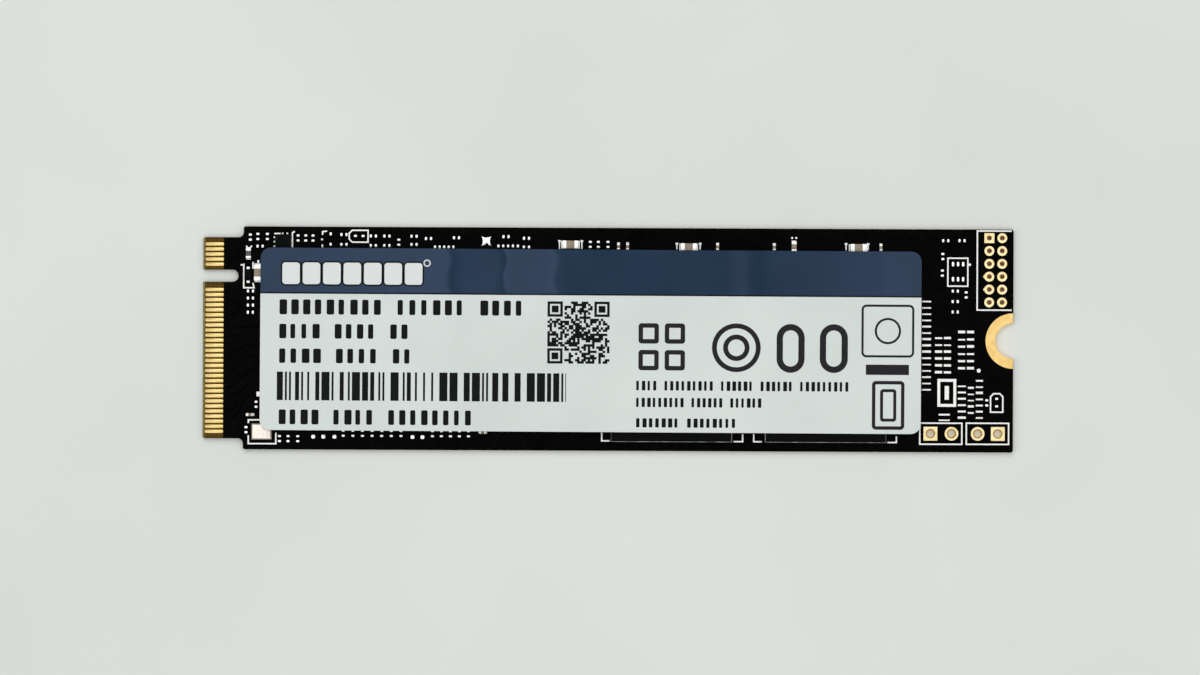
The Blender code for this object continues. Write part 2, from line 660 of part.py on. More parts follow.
def make_crystal():
    """A ceramic tray with a seam-welded metal lid."""
    x, y = LEFT + CRYSTAL_PLACE[0], FRONT + CRYSTAL_PLACE[1]
    width, depth, height = CRYSTAL_SIZE
    crystal = make_block("crystal", x, y, (width, depth, height - CRYSTAL_LID_HEIGHT), CAN_METAL)
    lid = bmesh.new()
    half_width, half_depth = width / 2 - CRYSTAL_LID_INSET, depth / 2 - CRYSTAL_LID_INSET
    lid_bottom = SEAT + (height - CRYSTAL_LID_HEIGHT) / 2
    low = (x - half_width, y - half_depth, lid_bottom)
    add_box(lid, low, (x + half_width, y + half_depth, SEAT + height))
    soften(lid, PACKAGE_EDGE)
    combine(crystal, "UNION", helper(mesh_object("crystal_lid", lid)))


def make_diode():
    """A small moulded diode with a flat lead at each end."""
    x, y = LEFT + DIODE_PLACE[0], BACK - DIODE_PLACE[1]
    diode = make_block("input_diode", x, y, DIODE_SIZE, BLACK_MOULD, 2 * PACKAGE_EDGE)
    width, length, height = DIODE_LEAD
    lead = bmesh.new()
    add_box(
        lead,
        (x - width / 2, y - length / 2, SEAT + height / 4),
        (x + width / 2, y + length / 2, SEAT + height),
    )
    combine(diode, "UNION", helper(mesh_object("diode_leads", lead)))


def make_visible_chips():
    """The chip parts that stand clear of the label, along the board's edges."""
    x, y = INPUT_CAPACITOR_PLACE
    place_chip("input_capacitor", MESH_0603, LEFT + x, BACK - y, upright=True)
    x, y = INPUT_RESISTOR_PLACE
    place_chip("input_resistor", MESH_0402_RESISTOR, LEFT + x, BACK - y, upright=True)
    x, y = STRAP_RESISTOR_PLACE
    place_chip("strap_resistor", MESH_0402_RESISTOR, LEFT + x, FRONT + y)
    x, y = CACHE_CAPACITOR_PLACE
    place_chip("row_capacitor_1", MESH_0603, CACHE_MIDDLE + x, BACK - y)
    x, y = FLASH_CAPACITOR_PLACE
    place_chip("flash_capacitor", MESH_0402, FLASH_LEFTS[-1] + x, BACK - y, upright=True)
    for n, (left, x) in enumerate(zip(FLASH_LEFTS, cycle(FLASH_ROW_CAPACITORS)), start=2):
        place_chip(f"row_capacitor_{n}", MESH_0603, left + x, BACK - FLASH_ROW_SIDE_INSET)
    for n, (x, y) in enumerate(FRONT_CAPACITOR_PLACES, start=1):
        place_chip(f"small_capacitor_{n}", MESH_0201, LEFT + x, FRONT + y)
    served = zip(FLASH_LEFTS, cycle(FLASH_SMALL_CAPACITORS))
    places = [left + x for left, own in served for x in own]
    for n, x in enumerate(places, start=len(FRONT_CAPACITOR_PLACES) + 1):
        y = BACK - FLASH_SMALL_SIDE_INSET
        place_chip(f"small_capacitor_{n}", MESH_0201, x, y, upright=True)


def make_hidden_chips():
    """Decoupling parts under the label, beside the packages that they serve."""
    gap_middles = (
        (CONTROLLER_RIGHT + CACHE_MIDDLE - CACHE_WIDTH / 2) / 2,
        (CACHE_MIDDLE + CACHE_WIDTH / 2 + FLASH_LEFTS[0]) / 2,
    )
    cache_front = FRONT + CACHE_SIDE_INSET
    for n in range(6):
        y = cache_front + CACHE_LENGTH * (0.2 + 0.3 * (n % 3))
        place_chip(f"bulk_capacitor_{n + 1}", MESH_0603_HIDDEN, gap_middles[n // 3], y, upright=True)
    controller_back = FRONT + CONTROLLER_SIDE_INSET + CONTROLLER_SIDE
    for n in range(6):
        x = CONTROLLER_LEFT + CONTROLLER_SIDE * (n + 0.5) / 6
        y = controller_back + BYPASS_GAP + CHIP_0402[0] / 2
        place_chip(f"controller_capacitor_{n + 1}", MESH_0402, x, y, upright=True)
    for n in range(4):
        y = FRONT + FLASH_SIDE_INSET + FLASH_LENGTH * (0.2 + 0.2 * n)
        place_chip(f"flash_bypass_{n + 1}", MESH_0402, FLASH_LEFTS[-1] - FLASH_GAP / 2, y, upright=True)


def label_stations():
    """(x, height) of the label's underside along the drive: flat on what bears it, slack between."""
    column_half = INDUCTOR_SIZE[0] / 2
    package_top = BOARD_TOP + PACKAGE_HEIGHT + SEAT_GAP
    cache_top = BOARD_TOP + CACHE_HEIGHT + SEAT_GAP
    capacitor = LEFT + INPUT_CAPACITOR_PLACE[0]
    bearings = [
        (capacitor - CHIP_0603[1], capacitor + CHIP_0603[1] / 2, SEAT + CHIP_0603[2] + SEAT_GAP),
        (POWER_COLUMN - column_half, POWER_COLUMN + column_half, SEAT + INDUCTOR_SIZE[2] + SEAT_GAP),
        (CONTROLLER_LEFT, CONTROLLER_RIGHT, package_top),
        (CACHE_MIDDLE - CACHE_WIDTH / 2, CACHE_MIDDLE + CACHE_WIDTH / 2, cache_top),
    ]
    bearings += [(left, left + FLASH_WIDTH, package_top) for left in FLASH_LEFTS]
    stations = [(bearings[0][0], bearings[0][2]), (bearings[0][1], bearings[0][2])]
    for before, after in zip(bearings, bearings[1:]):
        span = after[0] - before[1]
        for step in (1, 2, 3, 4):
            share = step / 5
            eased = (1 - math.cos(math.pi * share)) / 2
            slack = LABEL_SAG_SHARE * span * 4 * share * (1 - share)
            stations.append((before[1] + span * share, before[2] + (after[2] - before[2]) * eased - slack))
        stations += [(after[0], after[2]), (after[1], after[2])]
    last_x, last_height = stations[-1]
    reach = RIGHT - LABEL_END_INSETS[1] + LABEL_CORNER - last_x
    for share in (1 / 3, 2 / 3, 1):
        stations.append((last_x + reach * share, last_height - LABEL_END_DROOP * share**2))
    return stations


def make_label():
    """Printed film over the packages, cut with round corners and laid a little askew."""
    stations = label_stations()
    front_edge = FRONT + LABEL_SIDE_INSETS[1]
    back_edge = BACK - LABEL_SIDE_INSETS[0]
    rows = (
        (front_edge - LABEL_CORNER, 0.0),
        (front_edge + (FLASH_BACK - front_edge) / 2, 0.0),
        (FLASH_BACK, 0.0),
        (back_edge + LABEL_CORNER, LABEL_SIDE_DROOP),
    )
    film = bmesh.new()
    bmesh.ops.create_grid(film, x_segments=len(stations) - 1, y_segments=len(rows) - 1, size=1.0)
    for corner in film.verts:
        x, height = stations[round((corner.co.x + 1) / 2 * (len(stations) - 1))]
        y, droop = rows[round((corner.co.y + 1) / 2 * (len(rows) - 1))]
        corner.co = (x, y, height - droop)
    label = keep(mesh_object("label", film), LABEL_FILM)
    thicken = label.modifiers.new("film_thickness", "SOLIDIFY")
    thicken.thickness = LABEL_THICKNESS
    thicken.offset = 1.0
    length = BOARD_LENGTH - sum(LABEL_END_INSETS)
    width = back_edge - front_edge
    far, near = length / 2 - LABEL_CORNER, width / 2 - LABEL_CORNER
    cut = arc(far, near, LABEL_CORNER, 0, 90, 5) + arc(-far, near, LABEL_CORNER, 90, 180, 5)
    cut += arc(-far, -near, LABEL_CORNER, 180, 270, 5) + arc(far, -near, LABEL_CORNER, 270, 360, 5)
    trim = helper(outline_solid("label_cut", cut, -BOARD_THICKNESS, 2 * PACKAGE_HEIGHT + BOARD_TOP))
    trim.location.x += LEFT + LABEL_END_INSETS[0] + length / 2
    trim.location.y += (front_edge + back_edge) / 2
    trim.rotation_euler.z = LABEL_TURN
    combine(label, "INTERSECT", trim)


make_board()
make_packages()
make_power_stage()
make_crystal()
make_diode()
make_visible_chips()
make_hidden_chips()
make_label()

for piece in parts.objects:
    if piece.type == "MESH":
        piece.data.shade_smooth()
        piece.data.set_sharp_from_angle(angle=math.radians(35))
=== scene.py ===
"""The looks of a gumstick solid state drive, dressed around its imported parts.

All sizes are in metres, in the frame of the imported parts: +X runs from the edge connector to the
screw notch, +Y is the long edge nearer to the key notch, and the table is at zero height. Places of
print and tracks are in millimetres from the connector end and from the +Y edge.
"""

import math
import random

import bmesh
import bpy
from mathutils import Matrix, Vector
from mathutils.geometry import tessellate_polygon


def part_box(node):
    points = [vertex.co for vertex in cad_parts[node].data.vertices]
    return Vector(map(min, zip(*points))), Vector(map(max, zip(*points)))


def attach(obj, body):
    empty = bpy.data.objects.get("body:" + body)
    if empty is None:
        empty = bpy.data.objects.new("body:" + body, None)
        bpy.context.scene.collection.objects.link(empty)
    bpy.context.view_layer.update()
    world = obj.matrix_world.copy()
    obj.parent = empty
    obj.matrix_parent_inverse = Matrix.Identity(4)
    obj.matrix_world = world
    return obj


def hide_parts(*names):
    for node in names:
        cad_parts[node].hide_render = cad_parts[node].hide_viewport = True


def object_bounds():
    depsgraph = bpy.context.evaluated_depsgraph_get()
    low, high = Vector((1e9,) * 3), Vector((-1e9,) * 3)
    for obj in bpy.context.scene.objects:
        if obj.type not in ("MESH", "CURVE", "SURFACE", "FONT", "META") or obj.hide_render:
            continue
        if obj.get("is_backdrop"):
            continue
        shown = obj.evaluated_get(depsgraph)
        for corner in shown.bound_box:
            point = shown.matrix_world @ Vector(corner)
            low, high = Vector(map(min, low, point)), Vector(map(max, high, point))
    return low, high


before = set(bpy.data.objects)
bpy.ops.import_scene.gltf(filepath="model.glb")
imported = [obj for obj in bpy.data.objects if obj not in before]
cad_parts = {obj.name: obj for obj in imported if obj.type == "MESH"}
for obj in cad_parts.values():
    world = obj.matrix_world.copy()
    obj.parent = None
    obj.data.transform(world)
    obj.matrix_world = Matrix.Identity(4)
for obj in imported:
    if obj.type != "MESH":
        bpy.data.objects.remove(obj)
cad_low, cad_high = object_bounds()

# Circuit board core
# Glass cloth in epoxy, 0.8 mm thick, routed to its outline with a key notch and a half-moon
# screw notch, and drilled for the plated holes. Its bevelled end slides into the socket.
CORE_THICKNESS = 0.0008
COPPER = 0.000035
TONGUE_LENGTH = 0.0040
TONGUE_CORNER = 0.00025
TONGUE_WIDTH = 0.01985
SHOULDER_FILLET = 0.0005
BOARD_CORNER = 0.0002
KEY_PLACE = 0.006125
KEY_WIDTH = 0.0012
KEY_DEPTH = 0.0035
EDGE_BEVEL = 0.0002
NOTCH_RADIUS = 0.00175
NOTCH_WALL = 0.000035
HEADER_PITCH = 0.00127
HEADER_COLUMNS = 2
HEADER_ROWS = 6
HEADER_END_INSET = 0.00112
HEADER_SIDE_INSET = 0.00084
HEADER_HOLE = 0.00025
POST_END_INSETS = (0.00149, 0.00348, 0.00606, 0.00814)
POST_SIDE_INSET = 0.00183
POST_HOLE = 0.000375
HOLE_WALL = 0.00003
CUT_NEARNESS = 1e-7
LAMINATE_DARK = (66, 45, 3)
LAMINATE_LIGHT = (88, 64, 9)
LAMINATE_CUT = (152, 148, 84)

board_low, board_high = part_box("circuit_board")
left, right, front, back = board_low.x, board_high.x, board_low.y, board_high.y
core_bottom = board_low.z + COPPER
core_top = core_bottom + CORE_THICKNESS


def linear(red, green, blue):
    """A colour as a photograph shows it, from 0 to 255, as the shader's own values."""
    shares = [value / 255 for value in (red, green, blue)]
    return [s / 12.92 if s <= 0.04045 else ((s + 0.055) / 1.055) ** 2.4 for s in shares] + [1.0]


def add_node(tree, kind, **settings):
    """A node with its settings; the ones named after a socket go into that socket."""
    node = tree.nodes.new(kind)
    for key, value in settings.items():
        if hasattr(node, key):
            setattr(node, key, value)
        else:
            node.inputs[key.replace("_", " ")].default_value = value
    return node


def join(tree, *sockets):
    """Links sockets in pairs, each source to the target after it."""
    for source, target in zip(sockets[::2], sockets[1::2]):
        tree.links.new(source, target)


def blank_finish(name, roughness, gloss, metallic):
    """A material with its tree, its shader's inputs and the place that its patterns read."""
    material = bpy.data.materials.new(name)
    material.use_nodes = True
    tree = material.node_tree
    inputs = tree.nodes["Principled BSDF"].inputs
    inputs["Roughness"].default_value = roughness
    inputs["Specular IOR Level"].default_value = gloss
    inputs["Metallic"].default_value = metallic
    return material, tree, inputs, add_node(tree, "ShaderNodeTexCoord").outputs["Object"]


def speckle(tree, place, size, stretch):
    """Soft spots of about the given size in metres, from 0 to 1, drawn out along the axes."""
    mapping = add_node(tree, "ShaderNodeMapping", Scale=stretch)
    noise = add_node(tree, "ShaderNodeTexNoise", Scale=1.0 / size, Detail=3.0, Roughness=0.55)
    join(tree, place, mapping.inputs["Vector"], mapping.outputs["Vector"], noise.inputs["Vector"])
    return noise.outputs["Fac"]


def set_tones(tree, inputs, share, dark, light, low, high):
    """Colours a material between two tones, by a share that is stretched between two values."""
    ramp = add_node(tree, "ShaderNodeValToRGB")
    for stop, position, tone in zip(ramp.color_ramp.elements, (low, high), (dark, light)):
        stop.position = position
        stop.color = linear(*tone)
    join(tree, share, ramp.inputs["Fac"], ramp.outputs["Color"], inputs["Base Color"])


def set_bumps(tree, inputs, share, height):
    """Raises a material's surface by bumps of the given height in metres."""
    bump = add_node(tree, "ShaderNodeBump", Distance=height)
    join(tree, share, bump.inputs["Height"], bump.outputs["Normal"], inputs["Normal"])


EVEN = (1.0, 1.0, 1.0)


def new_finish(
    name, roughness, dark, light, grain, bumps=None, wander=None, gloss=0.5, metallic=0.0,
    grain_stretch=EVEN, stretch=EVEN, spread=(0.35, 0.65),
):
    """A material that is mottled between two tones, with spots of the grain's size in metres.

    Bumps hold the size of their spots and their height, and wander holds the size of spots in the
    roughness and its two values.
    """
    material, tree, inputs, place = blank_finish(name, roughness, gloss, metallic)
    set_tones(tree, inputs, speckle(tree, place, grain, grain_stretch), dark, light, *spread)
    if bumps:
        set_bumps(tree, inputs, speckle(tree, place, bumps[0], stretch), bumps[1])
    if wander:
        rough = add_node(tree, "ShaderNodeMapRange", To_Min=wander[1], To_Max=wander[2])
        join(tree, speckle(tree, place, wander[0], stretch), rough.inputs["Value"])
        join(tree, rough.outputs["Result"], inputs["Roughness"])
    return material


def arc(x, y, radius, start, end, steps):
    """Points of a round stretch between two angles in degrees, both ends included."""
    angles = [math.radians(start + (end - start) * n / steps) for n in range(steps + 1)]
    return [(x + radius * math.cos(angle), y + radius * math.sin(angle)) for angle in angles]


def circle(x, y, radius, count):
    """A closed round outline of the given number of points."""
    return arc(x, y, radius, 0, 360, count)[:-1]


def add_plate(builder, loops, low, high):
    """Adds a flat plate between two heights: its outline first, then any holes in it."""
    points = [(x, y) for loop in loops for x, y in loop]
    upper = [builder.verts.new((x, y, high)) for x, y in points]
    lower = [builder.verts.new((x, y, low)) for x, y in points]
    faces = tessellate_polygon([[Vector((x, y, 0.0)) for x, y in loop] for loop in loops])
    for corners in faces:
        builder.faces.new([upper[n] for n in corners])
        builder.faces.new([lower[n] for n in reversed(corners)])
    start = 0
    for loop in loops:
        for n in range(len(loop)):
            a, b = start + n, start + (n + 1) % len(loop)
            builder.faces.new((lower[a], lower[b], upper[b], upper[a]))
        start += len(loop)


def cut_at(builder, place, facing, drop=False):
    """Cuts what was built along a plane, can drop what it faces, and returns the cut itself."""
    return bmesh.ops.bisect_plane(
        builder, geom=builder.verts[:] + builder.edges[:] + builder.faces[:], clear_outer=drop,
        dist=CUT_NEARNESS, plane_co=place, plane_no=facing,
    )["geom_cut"]


def keep_mesh(name, builder):
    """What was built as a mesh, with its faces outwards."""
    bmesh.ops.recalc_face_normals(builder, faces=builder.faces[:])
    mesh = bpy.data.meshes.new(name)
    builder.to_mesh(mesh)
    builder.free()
    return mesh


def add_to_scene(name, mesh, crease):
    """A piece that shows a mesh, smooth up to the crease angle."""
    mesh.shade_smooth()
    mesh.set_sharp_from_angle(angle=math.radians(crease))
    piece = bpy.data.objects.new(name, mesh)
    bpy.context.scene.collection.objects.link(piece)
    return piece


def make_piece(name, builder, *materials, crease=35):
    """What was built as a piece with its materials."""
    mesh = keep_mesh(name, builder)
    for material in materials:
        mesh.materials.append(material)
    return add_to_scene(name, mesh, crease)


def fit(piece, slot, *nodes):
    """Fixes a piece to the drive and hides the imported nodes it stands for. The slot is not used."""
    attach(piece, "root")
    if nodes:
        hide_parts(*nodes)


def board_outline():
    """The routed edge, anticlockwise from the front corner of the connector tongue."""
    half = TONGUE_WIDTH / 2
    shoulder = left + TONGUE_LENGTH
    side = arc(left + TONGUE_CORNER, TONGUE_CORNER - half, TONGUE_CORNER, 180, 270, 6)
    side += arc(shoulder - SHOULDER_FILLET, -half - SHOULDER_FILLET, SHOULDER_FILLET, 90, 0, 8)
    side += arc(shoulder + BOARD_CORNER, front + BOARD_CORNER, BOARD_CORNER, 180, 270, 4)
    side += arc(right - BOARD_CORNER, front + BOARD_CORNER, BOARD_CORNER, 270, 360, 4)
    points = side + arc(right, 0.0, NOTCH_RADIUS + NOTCH_WALL, 270, 90, 48)
    points += [(x, -y) for x, y in reversed(side)]
    points.append((left, KEY_PLACE + KEY_WIDTH / 2))
    key_end = left + KEY_DEPTH - KEY_WIDTH / 2
    points += arc(key_end, KEY_PLACE, KEY_WIDTH / 2, 90, -90, 16)
    points.append((left, KEY_PLACE - KEY_WIDTH / 2))
    return points


header_holes = [
    (right - HEADER_END_INSET - column * HEADER_PITCH, back - HEADER_SIDE_INSET - row * HEADER_PITCH)
    for row in range(HEADER_ROWS)
    for column in range(HEADER_COLUMNS)
]
post_holes = [(right - inset, front + POST_SIDE_INSET) for inset in POST_END_INSETS]
drilled = [circle(x, y, HEADER_HOLE + HOLE_WALL, 24) for x, y in header_holes]
drilled += [circle(x, y, POST_HOLE + HOLE_WALL, 30) for x, y in post_holes]

core = bmesh.new()
add_plate(core, [board_outline(), *drilled], core_bottom, core_top)
for height, slope in ((core_top, 1), (core_bottom, -1)):
    cut = cut_at(core, (left + EDGE_BEVEL, 0.0, height), (-1.0, 0.0, slope), drop=True)
    rims = [edge for edge in cut if isinstance(edge, bmesh.types.BMEdge)]
    for face in bmesh.ops.holes_fill(core, edges=rims)["faces"]:
        face.material_index = 1

laminate, tree, inputs, place = blank_finish("glass_laminate", 0.6, 0.1, 0.0)
cloth = add_node(tree, "ShaderNodeMath", operation="MAXIMUM")
for n, direction in enumerate("XY"):
    yarn = add_node(
        tree, "ShaderNodeTexWave", wave_type="BANDS", bands_direction=direction, Scale=700.0,
        Distortion=1.2,
    )
    join(tree, place, yarn.inputs["Vector"], yarn.outputs["Fac"], cloth.inputs[n])
set_tones(tree, inputs, cloth.outputs[0], LAMINATE_DARK, LAMINATE_LIGHT, 0.4, 1.0)
set_bumps(tree, inputs, cloth.outputs[0], 0.000004)
cut_laminate = new_finish(
    "bevelled_laminate", 0.6, LAMINATE_CUT, LAMINATE_LIGHT, 0.0004, bumps=(0.0004, 0.000006),
    grain_stretch=(1.0, 6.0, 1.0), stretch=(1.0, 6.0, 1.0),
)
fit(make_piece("board_core", core, laminate, cut_laminate), "laminate", "circuit_board")

# Solder mask
# A black lacquer over both faces, from the end of the contacts to the screw end. Tracks and
# tented vias stand out under it, and it lies a little thinner over their shoulders.
MM = 0.001
MASK = 0.00002
MASK_START = 0.00205
TRACK_WIDTH = 0.00016
TRACK_PITCH = 0.0010
TRACK_RISE = 0.000009
TRACK_RUN = (0.0022, 0.0060)
# How far a track runs straight at least and how much farther at most, and its largest side step
TRACK_LEADS = (0.0004, 0.0012)
TRACK_STEP = 0.0005
# The gaps between wide tracks, in millimetres from the connector end and the back edge
TRACK_GAPS = (
    ((2.50, 15.97), (3.30, 15.45), (5.60, 13.40)),
    ((2.98, 10.00), (5.60, 9.80)),
    ((5.20, 11.70), (4.40, 11.80), (3.20, 12.27), (2.50, 12.99)),
    ((4.30, 12.85), (5.50, 12.85)),
    ((4.70, 15.40), (3.60, 16.40), (2.60, 16.75)),
    ((4.70, 16.50), (4.15, 17.20), (3.50, 18.40), (2.70, 19.10)),
    ((3.26, 17.30), (3.26, 18.00), (2.50, 18.10)),
    ((2.40, 7.20), (3.20, 7.50), (3.60, 8.30), (2.60, 8.90)),
    ((2.40, 10.90), (3.40, 10.70)),
    ((2.40, 14.20), (3.30, 14.10)),
    ((2.40, 3.10), (3.30, 3.30), (3.50, 2.20)),
)
GAP_WIDTH = 0.00022
GAP_SKIN = 0.000001
VIA_PITCH = 0.0010
VIA_INSET = 0.00045
VIA_SIZE = (0.00030, 0.00030, 0.000010)
DOME_FULLNESS = 0.7
MASK_BLACK = (1, 1, 1)
MASK_SHEEN = (4, 4, 3)

mask = new_finish(
    "black_solder_mask", 0.2, MASK_BLACK, MASK_SHEEN, 0.0012, bumps=(0.00025, 0.0000012),
    wander=(0.004, 0.14, 0.24), gloss=0.03,
)

# A tree that sets a copy of one shape at each point, sized by the point's own three sizes
scatter = bpy.data.node_groups.new("set_at_points", "GeometryNodeTree")
for name, way, kind in (
    ("Geometry", "INPUT", "Geometry"), ("Shape", "INPUT", "Object"),
    ("Material", "INPUT", "Material"), ("Geometry", "OUTPUT", "Geometry"),
):
    scatter.interface.new_socket(name, in_out=way, socket_type="NodeSocket" + kind)
outside = add_node(scatter, "NodeGroupInput").outputs
shape = add_node(scatter, "GeometryNodeObjectInfo")
sizes = add_node(scatter, "GeometryNodeInputNamedAttribute", data_type="FLOAT_VECTOR", Name="size")
copies = add_node(scatter, "GeometryNodeInstanceOnPoints")
realise = add_node(scatter, "GeometryNodeRealizeInstances")
paint = add_node(scatter, "GeometryNodeSetMaterial")
result = add_node(scatter, "NodeGroupOutput").inputs
join(
    scatter,
    outside["Geometry"], copies.inputs["Points"],
    outside["Shape"], shape.inputs["Object"],
    shape.outputs["Geometry"], copies.inputs["Instance"],
    sizes.outputs["Attribute"], copies.inputs["Scale"],
    copies.outputs["Instances"], realise.inputs["Geometry"],
    realise.outputs["Geometry"], paint.inputs["Geometry"],
    outside["Material"], paint.inputs["Material"],
    paint.outputs["Geometry"], result["Geometry"],
)


def scatter_piece(name, places, height, shape, material):
    """Runs the tree on places with their sizes, and keeps what it makes as a plain piece."""
    points = bmesh.new()
    size = points.verts.layers.float_vector.new("size")
    for x, y, sides in places:
        points.verts.new((x, y, height))[size] = Vector(sides)
    mesh = bpy.data.meshes.new(name + "_seed")
    points.to_mesh(mesh)
    points.free()
    seed = bpy.data.objects.new(name + "_seed", mesh)
    bpy.context.scene.collection.objects.link(seed)
    modifier = seed.modifiers.new("scatter", "NODES")
    modifier.node_group = scatter
    given = {"Shape": shape, "Material": material}
    for item in scatter.interface.items_tree:
        if item.name in given:
            modifier[item.identifier] = given[item.name]
    graph = bpy.context.evaluated_depsgraph_get()
    grown = bpy.data.meshes.new_from_object(seed.evaluated_get(graph))
    seed.modifiers.remove(modifier)
    bpy.data.objects.remove(seed, do_unlink=True)
    grown.name = name
    return add_to_scene(name, grown, 40)


def make_shape(name, builder):
    """What was built as a shape for the tree to copy, which doesn't show itself."""
    return bpy.data.objects.new(name, keep_mesh(name, builder))


def add_dome(builder, rings, steps, square):
    """Adds a dome one unit across and one high: round at a power of 2, squarer above it."""
    top = builder.verts.new((0.0, 0.0, 1.0))
    rows = []
    for ring in range(1, rings + 1):
        reach = math.sin(math.pi / 2 * ring / rings) / 2
        height = math.cos(math.pi / 2 * ring / rings) ** DOME_FULLNESS if ring < rings else 0.0
        row = []
        for n in range(steps):
            angle = 2 * math.pi * n / steps
            x, y = math.cos(angle), math.sin(angle)
            spread = (abs(x) ** square + abs(y) ** square) ** (-1 / square)
            row.append(builder.verts.new((x * reach * spread, y * reach * spread, height)))
        rows.append(row)
    for n in range(steps):
        builder.faces.new((top, rows[0][n], rows[0][(n + 1) % steps]))
    for upper, lower in zip(rows, rows[1:]):
        for n in range(steps):
            m = (n + 1) % steps
            builder.faces.new((upper[n], lower[n], lower[m], upper[m]))
    builder.faces.new(rows[-1])


for name, low, high in (
    ("mask_above", core_top, core_top + MASK),
    ("mask_below", core_bottom - MASK, core_bottom),
):
    coat = bmesh.new()
    add_plate(coat, [board_outline(), *drilled], low, high)
    cut_at(coat, (left + MASK_START, 0.0, 0.0), (-1.0, 0.0, 0.0), drop=True)
    bmesh.ops.holes_fill(coat, edges=[edge for edge in coat.edges if edge.is_boundary])
    fit(make_piece(name, coat, mask), "board")

mask_top = core_top + MASK
button = bmesh.new()
add_dome(button, 3, 12, 2)
via_shape = make_shape("via_button", button)
stitching = [
    (left + TONGUE_LENGTH + VIA_PITCH * (n + 0.8), y, VIA_SIZE)
    for n in range(int((right - left - 2 * TONGUE_LENGTH) / VIA_PITCH))
    for y in (back - VIA_INSET, front + VIA_INSET)
]
fit(scatter_piece("tented_vias", stitching, mask_top, via_shape, mask), "board")


def add_stroke(builder, points, width, low, high):
    """Adds a flat line with mitred corners, or a frame where its last point is its first."""
    closed = points[0] == points[-1]
    corners = [Vector(point) for point in points]
    if closed:
        corners.pop()
    last = len(corners) - 1
    sides = [[], []]
    for n, here in enumerate(corners):
        behind = (here - corners[n - 1]).normalized()
        ahead = (corners[(n + 1) % len(corners)] - here).normalized()
        if n == 0 and not closed:
            behind = ahead
        elif n == last and not closed:
            ahead = behind
        across = (ahead + behind).normalized().orthogonal()
        reach = across * (width / 2 / max(0.3, across.dot(ahead.orthogonal())))
        sides[0].append((here + reach)[:])
        sides[1].append((here - reach)[:])
    add_plate(builder, sides if closed else [sides[0] + sides[1][::-1]], low, high)


def on_board(along, across):
    """A place in millimetres from the connector end and the back edge, in the drive's frame."""
    return left + along * MM, back - across * MM


tracks = bmesh.new()
for n in range(int(TONGUE_WIDTH / TRACK_PITCH)):
    y = -TONGUE_WIDTH / 2 + TRACK_PITCH * (n + 0.5)
    if abs(y - KEY_PLACE) < KEY_WIDTH:
        continue
    start, end = left + TRACK_RUN[0], left + TRACK_RUN[1]
    bend = start + TRACK_LEADS[0] + TRACK_LEADS[1] * abs(math.sin(n * 1.7))
    jog = TRACK_STEP * math.sin(n * 0.9)
    run = [(start, y), (bend, y), (bend + abs(jog), y + jog), (end, y + jog)]
    add_stroke(tracks, run, TRACK_WIDTH, mask_top - MASK / 2, mask_top + TRACK_RISE)
fit(make_piece("masked_tracks", tracks, mask), "board")

gap_mask = new_finish("mask_over_bare_laminate", 0.6, (1, 1, 1), (4, 4, 4), 0.0003, gloss=0.01)
gaps = bmesh.new()
gap_top = mask_top + TRACK_RISE + GAP_SKIN
for points in TRACK_GAPS:
    add_stroke(gaps, [on_board(*point) for point in points], GAP_WIDTH, mask_top, gap_top)
fit(make_piece("etched_gaps", gaps, gap_mask), "board")

# Edge contacts
# Copper fingers plated with nickel and gold, 0.5 mm apart: odd pins on the chip side, even
# pins underneath half a pitch along, and none where the key notch is.
CONTACT_PITCH = 0.0005
CONTACT_SIZE = (0.0018, 0.00033)
CONTACT_START = 0.00025
CONTACT_CORNER = 0.00011
CONTACT_EASE = 0.000012
PINS_PER_SIDE = 38
KEY_PINS = (29, 32)
GOLD_LIGHT = (214, 190, 130)
GOLD_DEEP = (204, 178, 114)

gold = new_finish(
    "contact_gold", 0.36, GOLD_DEEP, GOLD_LIGHT, 0.0009, bumps=(0.00008, 0.0000016),
    wander=(0.00008, 0.3, 0.46), metallic=1.0, stretch=(0.06, 1.0, 1.0),
)


def rounded_loop(low, high, corner, steps=4):
    """A rectangle with round corners, anticlockwise from the middle of its right side."""
    loop = arc(high[0] - corner, high[1] - corner, corner, 0, 90, steps)
    loop += arc(low[0] + corner, high[1] - corner, corner, 90, 180, steps)
    loop += arc(low[0] + corner, low[1] + corner, corner, 180, 270, steps)
    return loop + arc(high[0] - corner, low[1] + corner, corner, 270, 360, steps)


def add_tiers(builder, tiers):
    """Adds a closed body between outlines that lie one above another, and returns its sides."""
    rows = [[builder.verts.new(point) for point in tier] for tier in tiers]
    builder.faces.new(rows[-1])
    builder.faces.new(list(reversed(rows[0])))
    return [
        [
            builder.faces.new((lower[n - 1], lower[n], upper[n], upper[n - 1]))
            for n in range(len(lower))
        ]
        for lower, upper in zip(rows, rows[1:])
    ]


def add_rounded_bar(builder, low, high, corner, ease):
    """Adds a flat bar with round corners and eased upper edges."""
    loop = rounded_loop(low, high, corner)
    middle = (Vector(low[:2]) + Vector(high[:2])) / 2
    half = Vector(high[:2]) - middle
    inward = Vector(((half.x - ease) / half.x, (half.y - ease) / half.y))
    crown = [middle + (Vector(point) - middle) * inward for point in loop]
    add_tiers(builder, [
        [(x, y, low[2]) for x, y in loop], [(x, y, high[2] - ease) for x, y in loop],
        [(x, y, high[2]) for x, y in crown],
    ])


